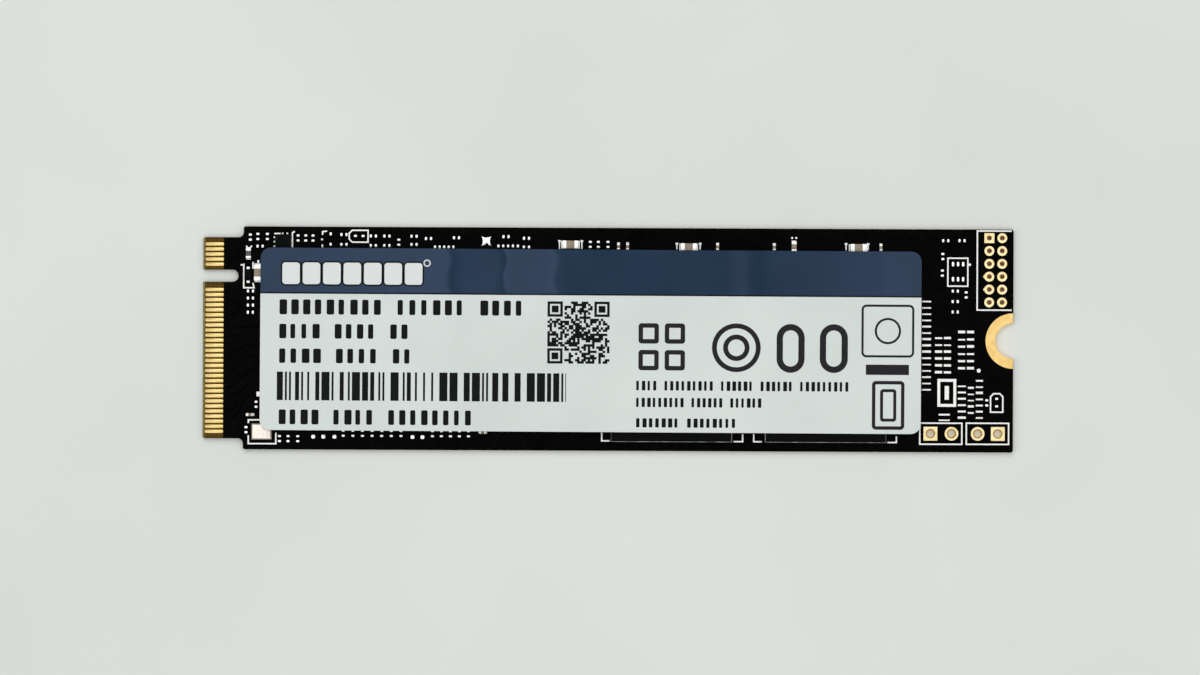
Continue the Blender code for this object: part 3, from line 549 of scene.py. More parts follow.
finger_start = (0.0, -CONTACT_SIZE[1] / 2, 0.0)
finger_end = (CONTACT_SIZE[0], CONTACT_SIZE[1] / 2, COPPER)
contact_start = left + CONTACT_START
first_pin = -CONTACT_PITCH * (PINS_PER_SIDE - 1) / 2
for name, height, upward, shift, count in (
    ("contacts_above", core_top, 1, 0.0, PINS_PER_SIDE),
    ("contacts_below", core_bottom, -1, CONTACT_PITCH / 2, PINS_PER_SIDE - 1),
):
    finger = bmesh.new()
    add_rounded_bar(finger, finger_start, finger_end, CONTACT_CORNER, CONTACT_EASE)
    for corner in finger.verts:
        corner.co.z *= upward
    pins = [
        (contact_start, first_pin + shift + n * CONTACT_PITCH, EVEN)
        for n in range(count)
        if not KEY_PINS[0] <= n <= KEY_PINS[1]
    ]
    finger_shape = make_shape(name + "_finger", finger)
    fit(scatter_piece(name, pins, height, finger_shape, gold), "contact_gold")

# Screw land
# A half ring of bare gold on both faces, joined by the plated wall of the notch, where the
# screw's head and the standoff bear and earth the board.
LAND_RADIUS = 0.00275
LAND_EASE = 0.00002
LIP_DROP = 0.00002
# It stops just short of the end edge, as angles in degrees about the screw's middle
LAND_SWEEP = (90.6, 269.4)
LAND_LIGHT = (241, 209, 138)
LAND_DEEP = (231, 193, 119)

land_gold = new_finish(
    "land_gold", 0.4, LAND_DEEP, LAND_LIGHT, 0.0007, bumps=(0.00012, 0.0000016),
    wander=(0.0002, 0.32, 0.48), metallic=1.0,
)


def plated_profile(inner, outer, wall, ease, lip):
    """Section through a plated hole or notch: a flange on each face and the wall between."""
    low, high = core_bottom - COPPER, core_top + COPPER
    return [
        (outer, core_top), (outer, high - ease), (outer - ease, high),
        (inner + lip, high), (inner, high - min(lip, LIP_DROP)),
        (inner, low + ease), (inner + ease, low), (outer - ease, low),
        (outer, low + ease), (outer, core_bottom),
        (inner + wall, core_bottom), (inner + wall, core_top),
    ]


def add_turned(builder, x, y, profile, start, end, steps, inner=()):
    """Adds a profile turned about an upright axis, closed at both ends if it isn't a full turn.

    The faces that start at the inner points take the piece's second material.
    """
    full = abs(end - start) >= 360
    rows = []
    for n in range(steps if full else steps + 1):
        angle = math.radians(start + (end - start) * n / steps)
        rows.append([
            builder.verts.new((x + r * math.cos(angle), y + r * math.sin(angle), z)) for r, z in profile
        ])
    for n in range(steps):
        here, ahead = rows[n], rows[(n + 1) % len(rows)]
        for a in range(len(profile)):
            b = (a + 1) % len(profile)
            face = builder.faces.new((here[a], here[b], ahead[b], ahead[a]))
            face.material_index = int(a in inner)
    if not full:
        builder.faces.new(rows[0])
        builder.faces.new(list(reversed(rows[-1])))


land = bmesh.new()
section = plated_profile(NOTCH_RADIUS, LAND_RADIUS, NOTCH_WALL, LAND_EASE, LAND_EASE)
add_turned(land, right, 0.0, section, *LAND_SWEEP, 64)
fit(make_piece("screw_land", land, land_gold), "contact_gold")

# Plated holes
# Two columns of six for a test header, and four wider ones beside the front edge. Each has a
# gold ring on both faces; the first pin's ring is square, and two have a track's teardrop.
HEADER_RING = 0.00049
POST_RING = 0.00068
RING_EASE = 0.00001
SQUARE_HEADER = (1,)
SQUARE_POSTS = (0, 3)
TEARDROPS = (7, 9)
TEARDROP_REACH = 0.00062
HOLE_LIP = 0.00009
SQUARE_FLANGE = 0.00015
# The header's barrels are plated up to a narrower bore, which hardly lets light through
HEADER_PLATING = 0.00008
RING_LIGHT = (248, 232, 182)
RING_DEEP = (236, 214, 158)
# The points of the section where the barrel's lip and wall start, whose faces take the brown painted
# shade
BARREL = (3, 4)

ring_gold = new_finish(
    "ring_gold", 0.4, RING_DEEP, RING_LIGHT, 0.0004, bumps=(0.00012, 0.0000016),
    wander=(0.0002, 0.32, 0.48), metallic=1.0,
)
# Brown gold on each hole's inward lip, and on the header's walls: painted shade where the ring turns
# down into the dark hole
barrel_shade_gold = new_finish(
    "barrel_shade_gold", 0.5, (116, 74, 22), (160, 106, 42), 0.0002, bumps=(0.0002, 0.000002), metallic=0.7,
)


def box_loop(low_x, low_y, high_x, high_y):
    """Four corners of an upright rectangle."""
    return [(low_x, low_y), (high_x, low_y), (high_x, high_y), (low_x, high_y)]


holes = bmesh.new()
for places, ring, hole, plating, squares, shaded_faces in (
    (header_holes, HEADER_RING, HEADER_HOLE, HEADER_PLATING, SQUARE_HEADER, BARREL),
    (post_holes, POST_RING, POST_HOLE, 0.0, SQUARE_POSTS, BARREL[:1]),
):
    for n, (x, y) in enumerate(places):
        square = n in squares
        flange = hole + SQUARE_FLANGE if square else ring
        section = plated_profile(hole - plating, flange, HOLE_WALL + plating, RING_EASE, HOLE_LIP)
        add_turned(holes, x, y, section, 0, 360, 32, shaded_faces)
        if square:
            plate = [box_loop(x - ring, y - ring, x + ring, y + ring)]
            plate.append(circle(x, y, flange - HOLE_WALL, 24))
            add_plate(holes, plate, core_top, core_top + COPPER - RING_EASE / 4)
            add_plate(holes, plate, core_bottom - COPPER + RING_EASE / 4, core_bottom)
for n in TEARDROPS:
    x, y = header_holes[n]
    drop = arc(x, y, HEADER_RING, 130, 230, 8) + [(x - TEARDROP_REACH, y)]
    add_plate(holes, [drop], core_top, core_top + COPPER - RING_EASE / 2)
fit(make_piece("plated_holes", holes, ring_gold, barrel_shade_gold), "contact_gold")

# Tinned pads
# Places for parts that this version of the drive leaves out. Each was printed with paste and
# reflowed into a low bright dome of solder.
PAD_HEIGHT = 0.00005
DOME_SHARE = 0.82
DOME_HEIGHT = 0.00005
HEIGHT_NEARNESS = 0.000002
SOLDER_LIGHT = (252, 252, 249)
SOLDER_DULL = (232, 233, 231)

solder = new_finish(
    "reflowed_solder", 0.4, SOLDER_DULL, SOLDER_LIGHT, 0.00022, bumps=(0.00012, 0.000001),
    wander=(0.0005, 0.34, 0.5), metallic=0.85,
)


def raised_places(node, height):
    """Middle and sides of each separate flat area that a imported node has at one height."""
    builder = bmesh.new()
    builder.from_mesh(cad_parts[node].data)
    bmesh.ops.remove_doubles(builder, verts=builder.verts[:], dist=CUT_NEARNESS)
    flat = {f for f in builder.faces if all(abs(v.co.z - height) < HEIGHT_NEARNESS for v in f.verts)}
    places = []
    while flat:
        island, rim = set(), [flat.pop()]
        while rim:
            face = rim.pop()
            island.add(face)
            near = {other for edge in face.edges for other in edge.link_faces if other in flat}
            flat -= near
            rim += near
        corners = [v.co for face in island for v in face.verts]
        lows, highs = ([pick(c[axis] for c in corners) for axis in (0, 1)] for pick in (min, max))
        places.append((
            (lows[0] + highs[0]) / 2, (lows[1] + highs[1]) / 2, highs[0] - lows[0], highs[1] - lows[1],
        ))
    builder.free()
    return sorted(places)


pad_areas = raised_places("circuit_board", core_top + PAD_HEIGHT)
star_area = max(pad_areas, key=lambda area: area[2] * area[3])
pads = [
    (x, y, (width * DOME_SHARE, depth * DOME_SHARE, DOME_HEIGHT))
    for x, y, width, depth in pad_areas
    if (x, y, width, depth) != star_area
]
dome = bmesh.new()
add_dome(dome, 4, 16, 4.0)
pad_shape = make_shape("pad_dome", dome)
fit(scatter_piece("tinned_pads", pads, core_top, pad_shape, solder), "solder")

# Solder star
# A square land on the key side whose solder pulled back between its corners into a star, with a
# round dark bite towards the front edge, drawn in the mask's black.
STAR_HOLLOW = 0.00017
STAR_EASE = 0.00003
STAR_SLOPE = 0.00008
BITE = (0.00004, -0.00036, 0.00017)

star_x, star_y, star_side, _ = star_area
hollow_radius = ((star_side / 2) ** 2 + STAR_HOLLOW**2) / (2 * STAR_HOLLOW)
sweep = math.degrees(math.asin(star_side / 2 / hollow_radius))
reach = star_side / 2 - STAR_HOLLOW + hollow_radius
tiers = []
for inset, height in ((0.0, 0.0), (0.0, STAR_EASE), (STAR_SLOPE, PAD_HEIGHT)):
    shrink = 1 - 2 * inset / star_side
    outline = []
    for quarter in (0, 90, 180, 270):
        turn = math.radians(quarter)
        hollow = (reach * math.cos(turn), reach * math.sin(turn))
        outline += arc(*hollow, hollow_radius, quarter + 180 + sweep, quarter + 180 - sweep, 8)[:-1]
    tiers.append([(star_x + x * shrink, star_y + y * shrink, core_top + height) for x, y in outline])
star = bmesh.new()
add_tiers(star, tiers)
fit(make_piece("solder_star", star, solder), "solder")
bite = bmesh.new()
bite_x, bite_y, bite_radius = star_x + BITE[0], star_y + BITE[1], BITE[2]
add_plate(bite, [circle(bite_x, bite_y, bite_radius, 18)], core_top, core_top + PAD_HEIGHT)
fit(make_piece("flux_bite", bite, mask), "board")

# Printed legend
# White epoxy ink that shows the assembler where each part goes, and which pin comes first.
# Where the real board has words and codes, plain bars stand in their place.
INK = 0.000012
LEGEND_WIDTH = 0.00014
# Millimetres from the connector end and from the back edge, point by point
LEGEND_LINES = (
    ((4.93, 5.57), (5.04, 6.06), (4.02, 6.06), (4.02, 3.68)),
    ((3.70, 3.81), (3.98, 3.81)),
    ((4.93, 3.52), (4.93, 4.18)),
    ((7.02, 0.70), (7.65, 0.70)),
    ((8.81, 2.07), (8.81, 0.60), (9.05, 0.49)),
    ((11.78, 0.80), (11.78, 0.50), (12.22, 0.43)),
    ((11.76, 1.75), (11.76, 2.04)),
    ((14.41, 0.64), (14.71, 0.34), (16.27, 0.34), (16.27, 1.51), (14.71, 1.51), (14.41, 1.21),
     (14.41, 0.64)),
    ((77.78, 16.50), (78.08, 16.20), (78.69, 16.20), (78.99, 16.50), (78.99, 18.02), (77.78, 18.02),
     (77.78, 16.50)),
    ((73.52, 2.84), (75.49, 2.84), (75.49, 5.60), (73.52, 5.60), (73.52, 2.84)),
    ((79.82, 0.14), (76.42, 0.14), (76.42, 7.95), (79.82, 7.95)),
    ((70.81, 19.13), (74.96, 19.13), (74.96, 21.21), (70.81, 21.21), (70.81, 19.13)),
    ((75.40, 19.12), (79.57, 19.12), (79.57, 21.20), (75.40, 21.20), (75.40, 19.12)),
    ((5.65, 19.09), (4.54, 19.10), (4.54, 19.41)),
    ((4.54, 20.62), (4.54, 21.44), (7.26, 21.44), (7.26, 20.35)),
    ((39.42, 20.20), (39.42, 21.02), (40.20, 21.02)),
    ((52.44, 21.04), (53.33, 21.04), (53.33, 20.30)),
    ((54.42, 20.30), (54.42, 21.04), (55.22, 21.04)),
    ((67.62, 21.06), (68.50, 21.06), (68.50, 20.45)),
)
# The bars between row capacitors: where each begins, and their widths at the head and below it
LEGEND_WEDGES = (
    (35.17, 1.23), (37.38, 1.23), (46.76, 1.44), (49.05, 1.44), (63.46, 1.40), (65.64, 1.40),
)
WEDGE_END = 2.09
WEDGE_WIDTHS = (0.30, 0.18, 0.12)
WEDGE_HEAD = 0.2
# Middle and radius of each dot
LEGEND_DOTS = (
    (11.73, 1.25, 0.10), (58.14, 0.91, 0.10), (58.54, 0.91, 0.10), (4.30, 1.99, 0.09),
    (4.76, 1.97, 0.09), (76.61, 13.93, 0.20), (75.68, 3.48, 0.13),
)
# Rows of bars across the drive: two corners in millimetres and the number of bars
LEGEND_ROWS = (
    ((70.99, 6.66), (71.88, 15.99), 15),
    ((72.28, 10.23), (72.98, 14.30), 6),
    ((73.16, 10.23), (73.86, 14.30), 6),
    ((74.55, 9.62), (75.25, 13.90), 6),
    ((75.44, 9.62), (76.13, 13.90), 6),
    ((74.55, 15.00), (75.34, 18.76), 6),
    ((75.54, 15.18), (76.13, 18.26), 5),
    ((76.33, 14.48), (77.02, 18.75), 7),
    ((72.67, 17.90), (73.76, 18.97), 2),
)
# Where a bar begins in its share of the row, and its least and greatest length
BAR_LEAD = 0.12
BAR_SHARES = (0.2, 0.38)
LEGEND_BLOCK = ((72.67, 14.90), (74.25, 17.37))

legend_ink = new_finish(
    "legend_ink", 0.5, (234, 236, 231), (248, 249, 245), 0.00012, bumps=(0.00012, 0.000003),
    gloss=0.35, spread=(0.3, 0.55),
)


def board_box(low, high):
    """Low and high corner of a rectangle given in millimetres from connector and back."""
    x_low, y_high = on_board(*low)
    x_high, y_low = on_board(*high)
    return (x_low, y_low), (x_high, y_high)


legend = bmesh.new()
ink_top = mask_top + INK
for points in LEGEND_LINES:
    add_stroke(legend, [on_board(*point) for point in points], LEGEND_WIDTH, mask_top, ink_top)
for along, across in LEGEND_WEDGES:
    wide, tapered, narrow = (width / 2 for width in WEDGE_WIDTHS)
    neck = across + WEDGE_HEAD
    half = [(wide, across), (tapered, neck), (narrow, neck), (narrow, WEDGE_END)]
    corners = half + [(-x, y) for x, y in reversed(half)]
    add_plate(legend, [[on_board(along + x, y) for x, y in corners]], mask_top, ink_top)
for along, across, radius in LEGEND_DOTS:
    add_plate(legend, [circle(*on_board(along, across), radius * MM, 12)], mask_top, ink_top)
draws = random.Random(4)
for start, end, count in LEGEND_ROWS:
    low, high = board_box(start, end)
    pitch = (high[1] - low[1]) / count
    for n in range(count):
        a = low[1] + pitch * (n + BAR_LEAD)
        b = a + pitch * draws.uniform(*BAR_SHARES)
        add_plate(legend, [box_loop(low[0], a, high[0], b)], mask_top, ink_top)
low, high = board_box(*LEGEND_BLOCK)
frame_corners = box_loop(*low, *high)
add_stroke(legend, frame_corners + frame_corners[:1], 2 * LEGEND_WIDTH, mask_top, ink_top)
x_middle = (low[0] + high[0]) / 2
core_bar = [(x_middle, low[1] + 4 * LEGEND_WIDTH), (x_middle, high[1] - 4 * LEGEND_WIDTH)]
add_stroke(legend, core_bar, 3 * LEGEND_WIDTH, mask_top, ink_top)
fit(make_piece("board_legend", legend, legend_ink), "board_print")

# Ball grid packages
# Two flash memories, the controller and its cache: black moulded epoxy on a thin laminate
# carrier, which stands on a grid of solder balls. The controller's mould is stepped in.
CARRIER = 0.00025
BALL_HEIGHT = 0.00025
BALL_RADIUS = 0.00020
BALL_INSET = 0.0006
BALL_SINK = 0.62
CARRIER_CORNER = 0.00005
CARRIER_EASE = 0.00001
MOULD_STEP = 0.0004
MOULD_EASE = 0.00006
MOULD_DRAFT = 0.00003
# Name, pitch of the balls, and how far the mould is stepped in
PACKAGES = (
    ("controller_chip", 0.0008, MOULD_STEP),
    ("cache_chip", 0.0016, 0.0),
    ("flash_chip_1", 0.0010, 0.0),
    ("flash_chip_2", 0.0010, 0.0),
)

moulding = new_finish(
    "moulding_compound", 0.42, (3, 4, 4), (8, 8, 9), 0.00006, bumps=(0.00006, 0.000005),
    wander=(0.0015, 0.36, 0.48), gloss=0.035,
)
# A pale grey finish for the packages' eased upper edges: a painted highlight, standing in for the
# lamps' glint along the bevel
painted_edge_highlight = new_finish(
    "moulding_edge_highlight", 0.35, (52, 52, 56), (150, 149, 158), 0.0009, bumps=(0.0009, 0.000003),
    metallic=0.4,
)
carrier = new_finish(
    "package_carrier", 0.4, (24, 34, 26), (46, 62, 44), 0.0002, bumps=(0.0002, 0.000004),
    grain_stretch=(1.0, 1.0, 5.0), stretch=(1.0, 1.0, 5.0),
)


def add_moulded(builder, low, high, draft, shine=0):
    """Adds a moulded body: sides that lean in by the draft and eased upper edges.

    The eased edges take the material with the number given as shine; for the packages that is a pale
    painted highlight along the edge.
    """
    knee = 0.3 * MOULD_EASE
    tiers = []
    for inset, drop in (
        (0.0, high[2] - low[2]), (draft, MOULD_EASE), (draft + knee, knee), (draft + MOULD_EASE, 0.0),
    ):
        lows, highs = (low[0] + inset, low[1] + inset), (high[0] - inset, high[1] - inset)
        loop = rounded_loop(lows, highs, MOULD_EASE / 2, 3)
        tiers.append([(x, y, high[2] - drop) for x, y in loop])
    for side in add_tiers(builder, tiers)[1:]:
        for face in side:
            face.material_index = shine


ball = bmesh.new()
bmesh.ops.create_icosphere(ball, subdivisions=2, radius=1.0)
ball_shape = make_shape("solder_ball", ball)
for name, pitch, step_in in PACKAGES:
    low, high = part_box(name)
    base = core_top + COPPER + BALL_HEIGHT
    body = bmesh.new()
    mould_low = (low.x + step_in, low.y + step_in, base + CARRIER)
    mould_high = (high.x - step_in, high.y - step_in, high.z)
    # Slot 1 paints a pale highlight along the eased upper edges
    add_moulded(body, mould_low, mould_high, MOULD_DRAFT, 1)
    fit(make_piece(name + "_mould", body, moulding, painted_edge_highlight, crease=20), "moulding", name)
    body = bmesh.new()
    carrier_low, carrier_high = (low.x, low.y, base), (high.x, high.y, base + CARRIER)
    add_rounded_bar(body, carrier_low, carrier_high, CARRIER_CORNER, CARRIER_EASE)
    fit(make_piece(name + "_carrier", body, carrier), "laminate")
    columns, rows = (int((high[n] - low[n] - 2 * BALL_INSET) / pitch) + 1 for n in (0, 1))
    corner = (low + high) / 2 - Vector((columns - 1, rows - 1, 0)) / 2 * pitch
    places = [
        (corner.x + n * pitch, corner.y + m * pitch, BALL_RADIUS * Vector(EVEN))
        for n in range(columns)
        for m in range(rows)
    ]
    sunk = base - BALL_RADIUS * BALL_SINK
    fit(scatter_piece(name + "_balls", places, sunk, ball_shape, solder), "solder")

# Power stage
# A load switch at the back edge, then two inductors, the power chip and a third inductor in
# one column under the label: moulded bodies with tinned terminals at their lower edges.
TERMINAL = 0.00055
TERMINAL_PROUD = 0.00002
TERMINAL_DROP = 0.00035
TERMINAL_EDGE = 0.00003
INDUCTOR_EDGE = 0.00012
LEAD_PITCH = 0.0005
LEAD_SIZE = (0.00022, 0.00003)
LEAD_RISE = 0.0002
LEAD_SINK = 0.00002
LEAD_EDGE = 0.00001

tin = new_finish(
    "tin_plating", 0.42, (226, 226, 223), (248, 248, 244), 0.00015, bumps=(0.00015, 0.0000015),
    wander=(0.0003, 0.36, 0.52), metallic=0.85,
)
ferrite = new_finish(
    "pressed_ferrite", 0.55, (48, 48, 52), (76, 76, 80), 0.00005, bumps=(0.00005, 0.000006),
)


def add_soft_block(builder, low, high, edge, segments=2):
    """Adds a block with all its edges rounded."""
    made = bmesh.ops.create_cube(builder, size=1.0)
    for corner in made["verts"]:
        corner.co = Vector(b if side > 0 else a for a, b, side in zip(low, high, corner.co))
    edges = list({e for corner in made["verts"] for e in corner.link_edges})
    bmesh.ops.bevel(builder, geom=edges, offset=edge, segments=segments, profile=0.5, affect="EDGES")


for name in ("load_switch", "power_chip"):
    low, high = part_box(name)
    body = bmesh.new()
    add_moulded(body, low, high, MOULD_DRAFT)
    fit(make_piece(name + "_body", body, moulding, crease=20), "moulding", name)
    leads = bmesh.new()
    count = int((high.y - low.y) / LEAD_PITCH) - 1
    for n in range(count):
        y = (low.y + high.y) / 2 + (n - (count - 1) / 2) * LEAD_PITCH
        for x in (low.x, high.x):
            corner_low = (x - LEAD_SIZE[1] / 2, y - LEAD_SIZE[0] / 2, low.z - LEAD_SINK)
            corner_high = (x + LEAD_SIZE[1] / 2, y + LEAD_SIZE[0] / 2, low.z + LEAD_RISE)
            add_soft_block(leads, corner_low, corner_high, LEAD_EDGE, 1)
    fit(make_piece(name + "_leads", leads, tin), "solder")
for n in (1, 2, 3):
    name = f"power_inductor_{n}"
    low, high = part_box(name)
    body = bmesh.new()
    inset = TERMINAL_PROUD * Vector(EVEN)
    add_soft_block(body, low + inset, high - inset, INDUCTOR_EDGE, 3)
    fit(make_piece(name + "_body", body, ferrite), "ferrite", name)
    ends = bmesh.new()
    for a, b in ((low.x, low.x + TERMINAL), (high.x - TERMINAL, high.x)):
        end_low, end_high = (a, low.y, low.z), (b, high.y, high.z - TERMINAL_DROP)
        add_soft_block(ends, end_low, end_high, TERMINAL_EDGE)
    fit(make_piece(name + "_ends", ends, tin), "solder")

# Crystal
# The controller's clock: a ceramic tray that holds the quartz, closed by a seam-welded lid of
# plated metal.
TRAY_EDGE = 0.00004
LID_INSET = 0.00010
LID_HEIGHT = 0.00012
LID_EDGE = 0.00005

lid_metal = new_finish(
    "welded_lid", 0.45, (226, 212, 200), (240, 234, 222), 0.0003, bumps=(0.00006, 0.000002),
    wander=(0.0003, 0.4, 0.52), metallic=0.8,
)
tray = new_finish(
    "tray_ceramic", 0.5, (120, 104, 92), (150, 134, 120), 0.0001, bumps=(0.0001, 0.000004),
)
low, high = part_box("crystal")
body = bmesh.new()
add_soft_block(body, low, (high.x, high.y, high.z - LID_HEIGHT), TRAY_EDGE)
fit(make_piece("crystal_tray", body, tray), "ceramic", "crystal")
body = bmesh.new()
lid_low = (low.x + LID_INSET, low.y + LID_INSET, high.z - 2 * LID_HEIGHT)
add_soft_block(body, lid_low, (high.x - LID_INSET, high.y - LID_INSET, high.z), LID_EDGE, 3)
fit(make_piece("crystal_lid", body, lid_metal), "can_metal")

# Input diode
# A small moulded rectifier beside the connector, which guards the supply. A flat tinned lead is
# bent down at each end.
DIODE_DRAFT = 0.00006
DIODE_LEAD_WIDTH = 0.0003
DIODE_LEAD_REACH = 0.0002
DIODE_LEAD_LENGTH = 0.00032
DIODE_LEAD_RISE = 0.0003
DIODE_LEAD_EDGE = 0.00003

low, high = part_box("input_diode")
body = bmesh.new()
body_low = (low.x, low.y + DIODE_LEAD_REACH, low.z)
add_moulded(body, body_low, (high.x, high.y - DIODE_LEAD_REACH, high.z), DIODE_DRAFT)
fit(make_piece("diode_body", body, moulding, crease=20), "moulding", "input_diode")
leads = bmesh.new()
middle = (low.x + high.x) / 2
for y in (low.y, high.y - DIODE_LEAD_LENGTH):
    lead_low = (middle - DIODE_LEAD_WIDTH / 2, y, low.z - LEAD_SINK)
    lead_high = (middle + DIODE_LEAD_WIDTH / 2, y + DIODE_LEAD_LENGTH, low.z + DIODE_LEAD_RISE)
    add_soft_block(leads, lead_low, lead_high, DIODE_LEAD_EDGE)
fit(make_piece("diode_leads", leads, tin), "solder")

# Chip capacitors and resistors
# Fired ceramic bodies with a tinned cap wrapped over each end, soldered down by a small
# hollow fillet. The resistors have a dark glaze over their upper face.
CAP_SHARE = 0.26
CAP_PROUD = 0.000012
CAP_EDGE = 0.00004
BODY_EDGE = 0.00002
FILLET_REACH = 0.00012
FILLET_RISE = 0.00035
# Its share of the part's height at most, its inset at both sides, and its foot's thickness
FILLET_SHARE = 0.6
FILLET_INSET = 0.00002
FILLET_FOOT = 0.00001
RESISTORS = ("input_resistor", "strap_resistor")

glaze = new_finish(
    "resistor_glaze", 0.35, (58, 60, 64), (84, 86, 88), 0.0001, bumps=(0.0001, 0.000003),
)
fired = new_finish(
    "fired_ceramic", 0.45, (126, 110, 90), (150, 136, 112), 0.0002, bumps=(0.00005, 0.000004),
)


def lie(axis, points):
    """Points given along a part, across it and in height, for a part that lies along one axis."""
    return [(a, b, c) if axis == 0 else (b, a, c) for a, b, c in points]


for name in sorted(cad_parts):
    if not ("capacitor" in name or "bypass" in name or name in RESISTORS):
        continue
    low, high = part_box(name)
    axis = 0 if high.x - low.x > high.y - low.y else 1
    start, end = low[axis], high[axis]
    near, far = low[1 - axis], high[1 - axis]
    cap = CAP_SHARE * (end - start)
    body_low = (start + cap / 2, near + CAP_PROUD, low.z + CAP_PROUD)
    body_high = (end - cap / 2, far - CAP_PROUD, high.z - CAP_PROUD)
    body = bmesh.new()
    add_soft_block(body, *lie(axis, (body_low, body_high)), BODY_EDGE)
    material, slot = (glaze, "resistor") if name in RESISTORS else (fired, "ceramic")
    fit(make_piece(name + "_body", body, material), slot, name)
    ends = bmesh.new()
    rise = min(FILLET_SHARE * (high.z - low.z), FILLET_RISE)
    profile = [(0.0, 0.0), (FILLET_REACH, 0.0), (FILLET_REACH, FILLET_FOOT)]
    profile += [(FILLET_REACH * (1 - s) ** 2, rise * s * s) for s in (0.3, 0.55, 0.8, 1.0)]
    for a, b, outer, side in ((start, start + cap, start, -1), (end - cap, end, end, 1)):
        add_soft_block(ends, *lie(axis, ((a, near, low.z), (b, far, high.z))), CAP_EDGE, 3)
        add_tiers(ends, [
            lie(axis, [
                (outer + side * (reach - FILLET_FOOT), across, core_top + COPPER / 2 + height)
                for reach, height in profile
            ])
            for across in (near + FILLET_INSET, far - FILLET_INSET)
        ])
    fit(make_piece(name + "_ends", ends, tin), "solder")

# Label film
# One printed polyester label over all the packages, with round corners and laid a little
# askew. It is flat on what bears it and slack between, and droops past the last package.
FILM = 0.00009
SEAT_GAP = 0.00002
LABEL_END_INSETS = (0.00575, 0.00918)
LABEL_SIDE_INSETS = (0.00218, 0.00187)
LABEL_CORNER = 0.0010
LABEL_TURN = math.radians(-0.12)
# Between the controller and the first flash package it sags onto the lower cache: how far past
# the controller it stays level, how far short of the cache's middle it touches down and lifts
# off, and how far before the flash package it is level again
TROUGH = (0.0025, 0.0017, 0.0014, 0.0062)
TROUGH_SKEW = -0.12
TROUGH_WAVER = (0.00035, 1400.0)
FLASH_SAG = 0.00003
END_DROOP = 0.00012
SIDE_DROOP = 0.00002
FILM_STIFFNESS = 0.0005
# Pitch of the folds along the drive and across it
FOLD_PITCHES = (0.0004, 0.0006)

label_front, label_back = front + LABEL_SIDE_INSETS[1], back - LABEL_SIDE_INSETS[0]
label_left, label_right = left + LABEL_END_INSETS[0], right - LABEL_END_INSETS[1]
label_middle = Vector(((label_left + label_right) / 2, (label_front + label_back) / 2))
inductor, controller, cache, flash_1, flash_2 = (
    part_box(name) for name in (
        "power_inductor_1", "controller_chip", "cache_chip", "flash_chip_1", "flash_chip_2",
    )
)
cache_middle = (cache[0].x + cache[1].x) / 2
sag_middle = (flash_1[1].x + flash_2[0].x) / 2

# Places along the drive and the height of what bears the film there. It runs straight from the
# first inductor's outer edge to the controller, and keeps that slope down to its own end.
climb = (controller[1].z - inductor[1].z) / (controller[0].x - inductor[0].x)
bearings = [
    (label_left - LABEL_CORNER, inductor[1].z - climb * (inductor[0].x - label_left + LABEL_CORNER)),
    (controller[0].x, controller[1].z), (controller[1].x + TROUGH[0], controller[1].z),
    (cache_middle - TROUGH[1], cache[1].z), (cache_middle - TROUGH[2], cache[1].z),
    (flash_1[0].x - TROUGH[3], flash_1[1].z), (flash_1[1].x, flash_1[1].z),
    (sag_middle, flash_1[1].z - FLASH_SAG), (flash_2[0].x, flash_2[1].z), (flash_2[1].x, flash_2[1].z),
    (label_right + LABEL_CORNER, flash_2[1].z - END_DROOP),
]


def taut_height(x):
    """Height of a film that runs straight from one bearing to the next."""
    for (start, before), (end, after) in zip(bearings, bearings[1:]):
        if x <= end:
            return before + (after - before) * (x - start) / (end - start)
    return bearings[-1][1]


def film_height(x, y):
    """Height of the film's underside at a place on the drive, bent softly over its bearings."""
    droop = SIDE_DROOP * max(0.0, (y - flash_1[1].y) / (label_back - flash_1[1].y)) ** 2
    if controller[1].x < x < flash_1[0].x:
        waver = TROUGH_WAVER[0] * math.sin(TROUGH_WAVER[1] * y)
        x = min(max(x - TROUGH_SKEW * (y - label_back) + waver, controller[1].x), flash_1[0].x)
    near = [taut_height(x + FILM_STIFFNESS * share) for share in (-1.0, -0.5, 0.0, 0.5, 1.0)]
    return sum(near) / len(near) + SEAT_GAP - droop


def lay_on_label(builder):
    """Cuts a flat drawing along the folds, the same for all, and lifts it onto the film."""
    turn = Matrix.Rotation(LABEL_TURN, 2)
    for corner in builder.verts:
        spot = turn @ (corner.co.xy - label_middle) + label_middle
        corner.co = (spot.x, spot.y, corner.co.z)
    for pitch, across in zip(FOLD_PITCHES, (Vector((1.0, 0.0, 0.0)), Vector((0.0, 1.0, 0.0)))):
        places = [corner.co.dot(across) for corner in builder.verts]
        for n in range(math.ceil(min(places) / pitch), math.ceil(max(places) / pitch)):
            cut_at(builder, n * pitch * across, across)
    for corner in builder.verts:
        corner.co.z += film_height(corner.co.x, corner.co.y)


film_white = new_finish(
    "label_white", 0.4, (209, 217, 213), (215, 223, 219), 0.009, bumps=(0.0003, 0.000002),
    wander=(0.004, 0.34, 0.46), gloss=0.3,
)
label_loop = rounded_loop((label_left, label_front), (label_right, label_back), LABEL_CORNER, 10)
film = bmesh.new()
add_plate(film, [label_loop], 0.0, FILM)
lay_on_label(film)
fit(make_piece("label_film", film, film_white), "label_film", "label")

# Label band
# Blue ink over the film's back part, out to the cut edge, and a thin dark line where it ends.
# Its gloss is a little blue too.
BAND_EDGE = 0.00655
BAND_LAYER = 0.000003
BAND_LINE = 0.00015
BAND_BLUE = (32, 51, 73)
BAND_DEEP = (26, 45, 65)
BAND_TINT = (0.53, 0.67, 1.0)
INK_BLACK = (10, 12, 12)

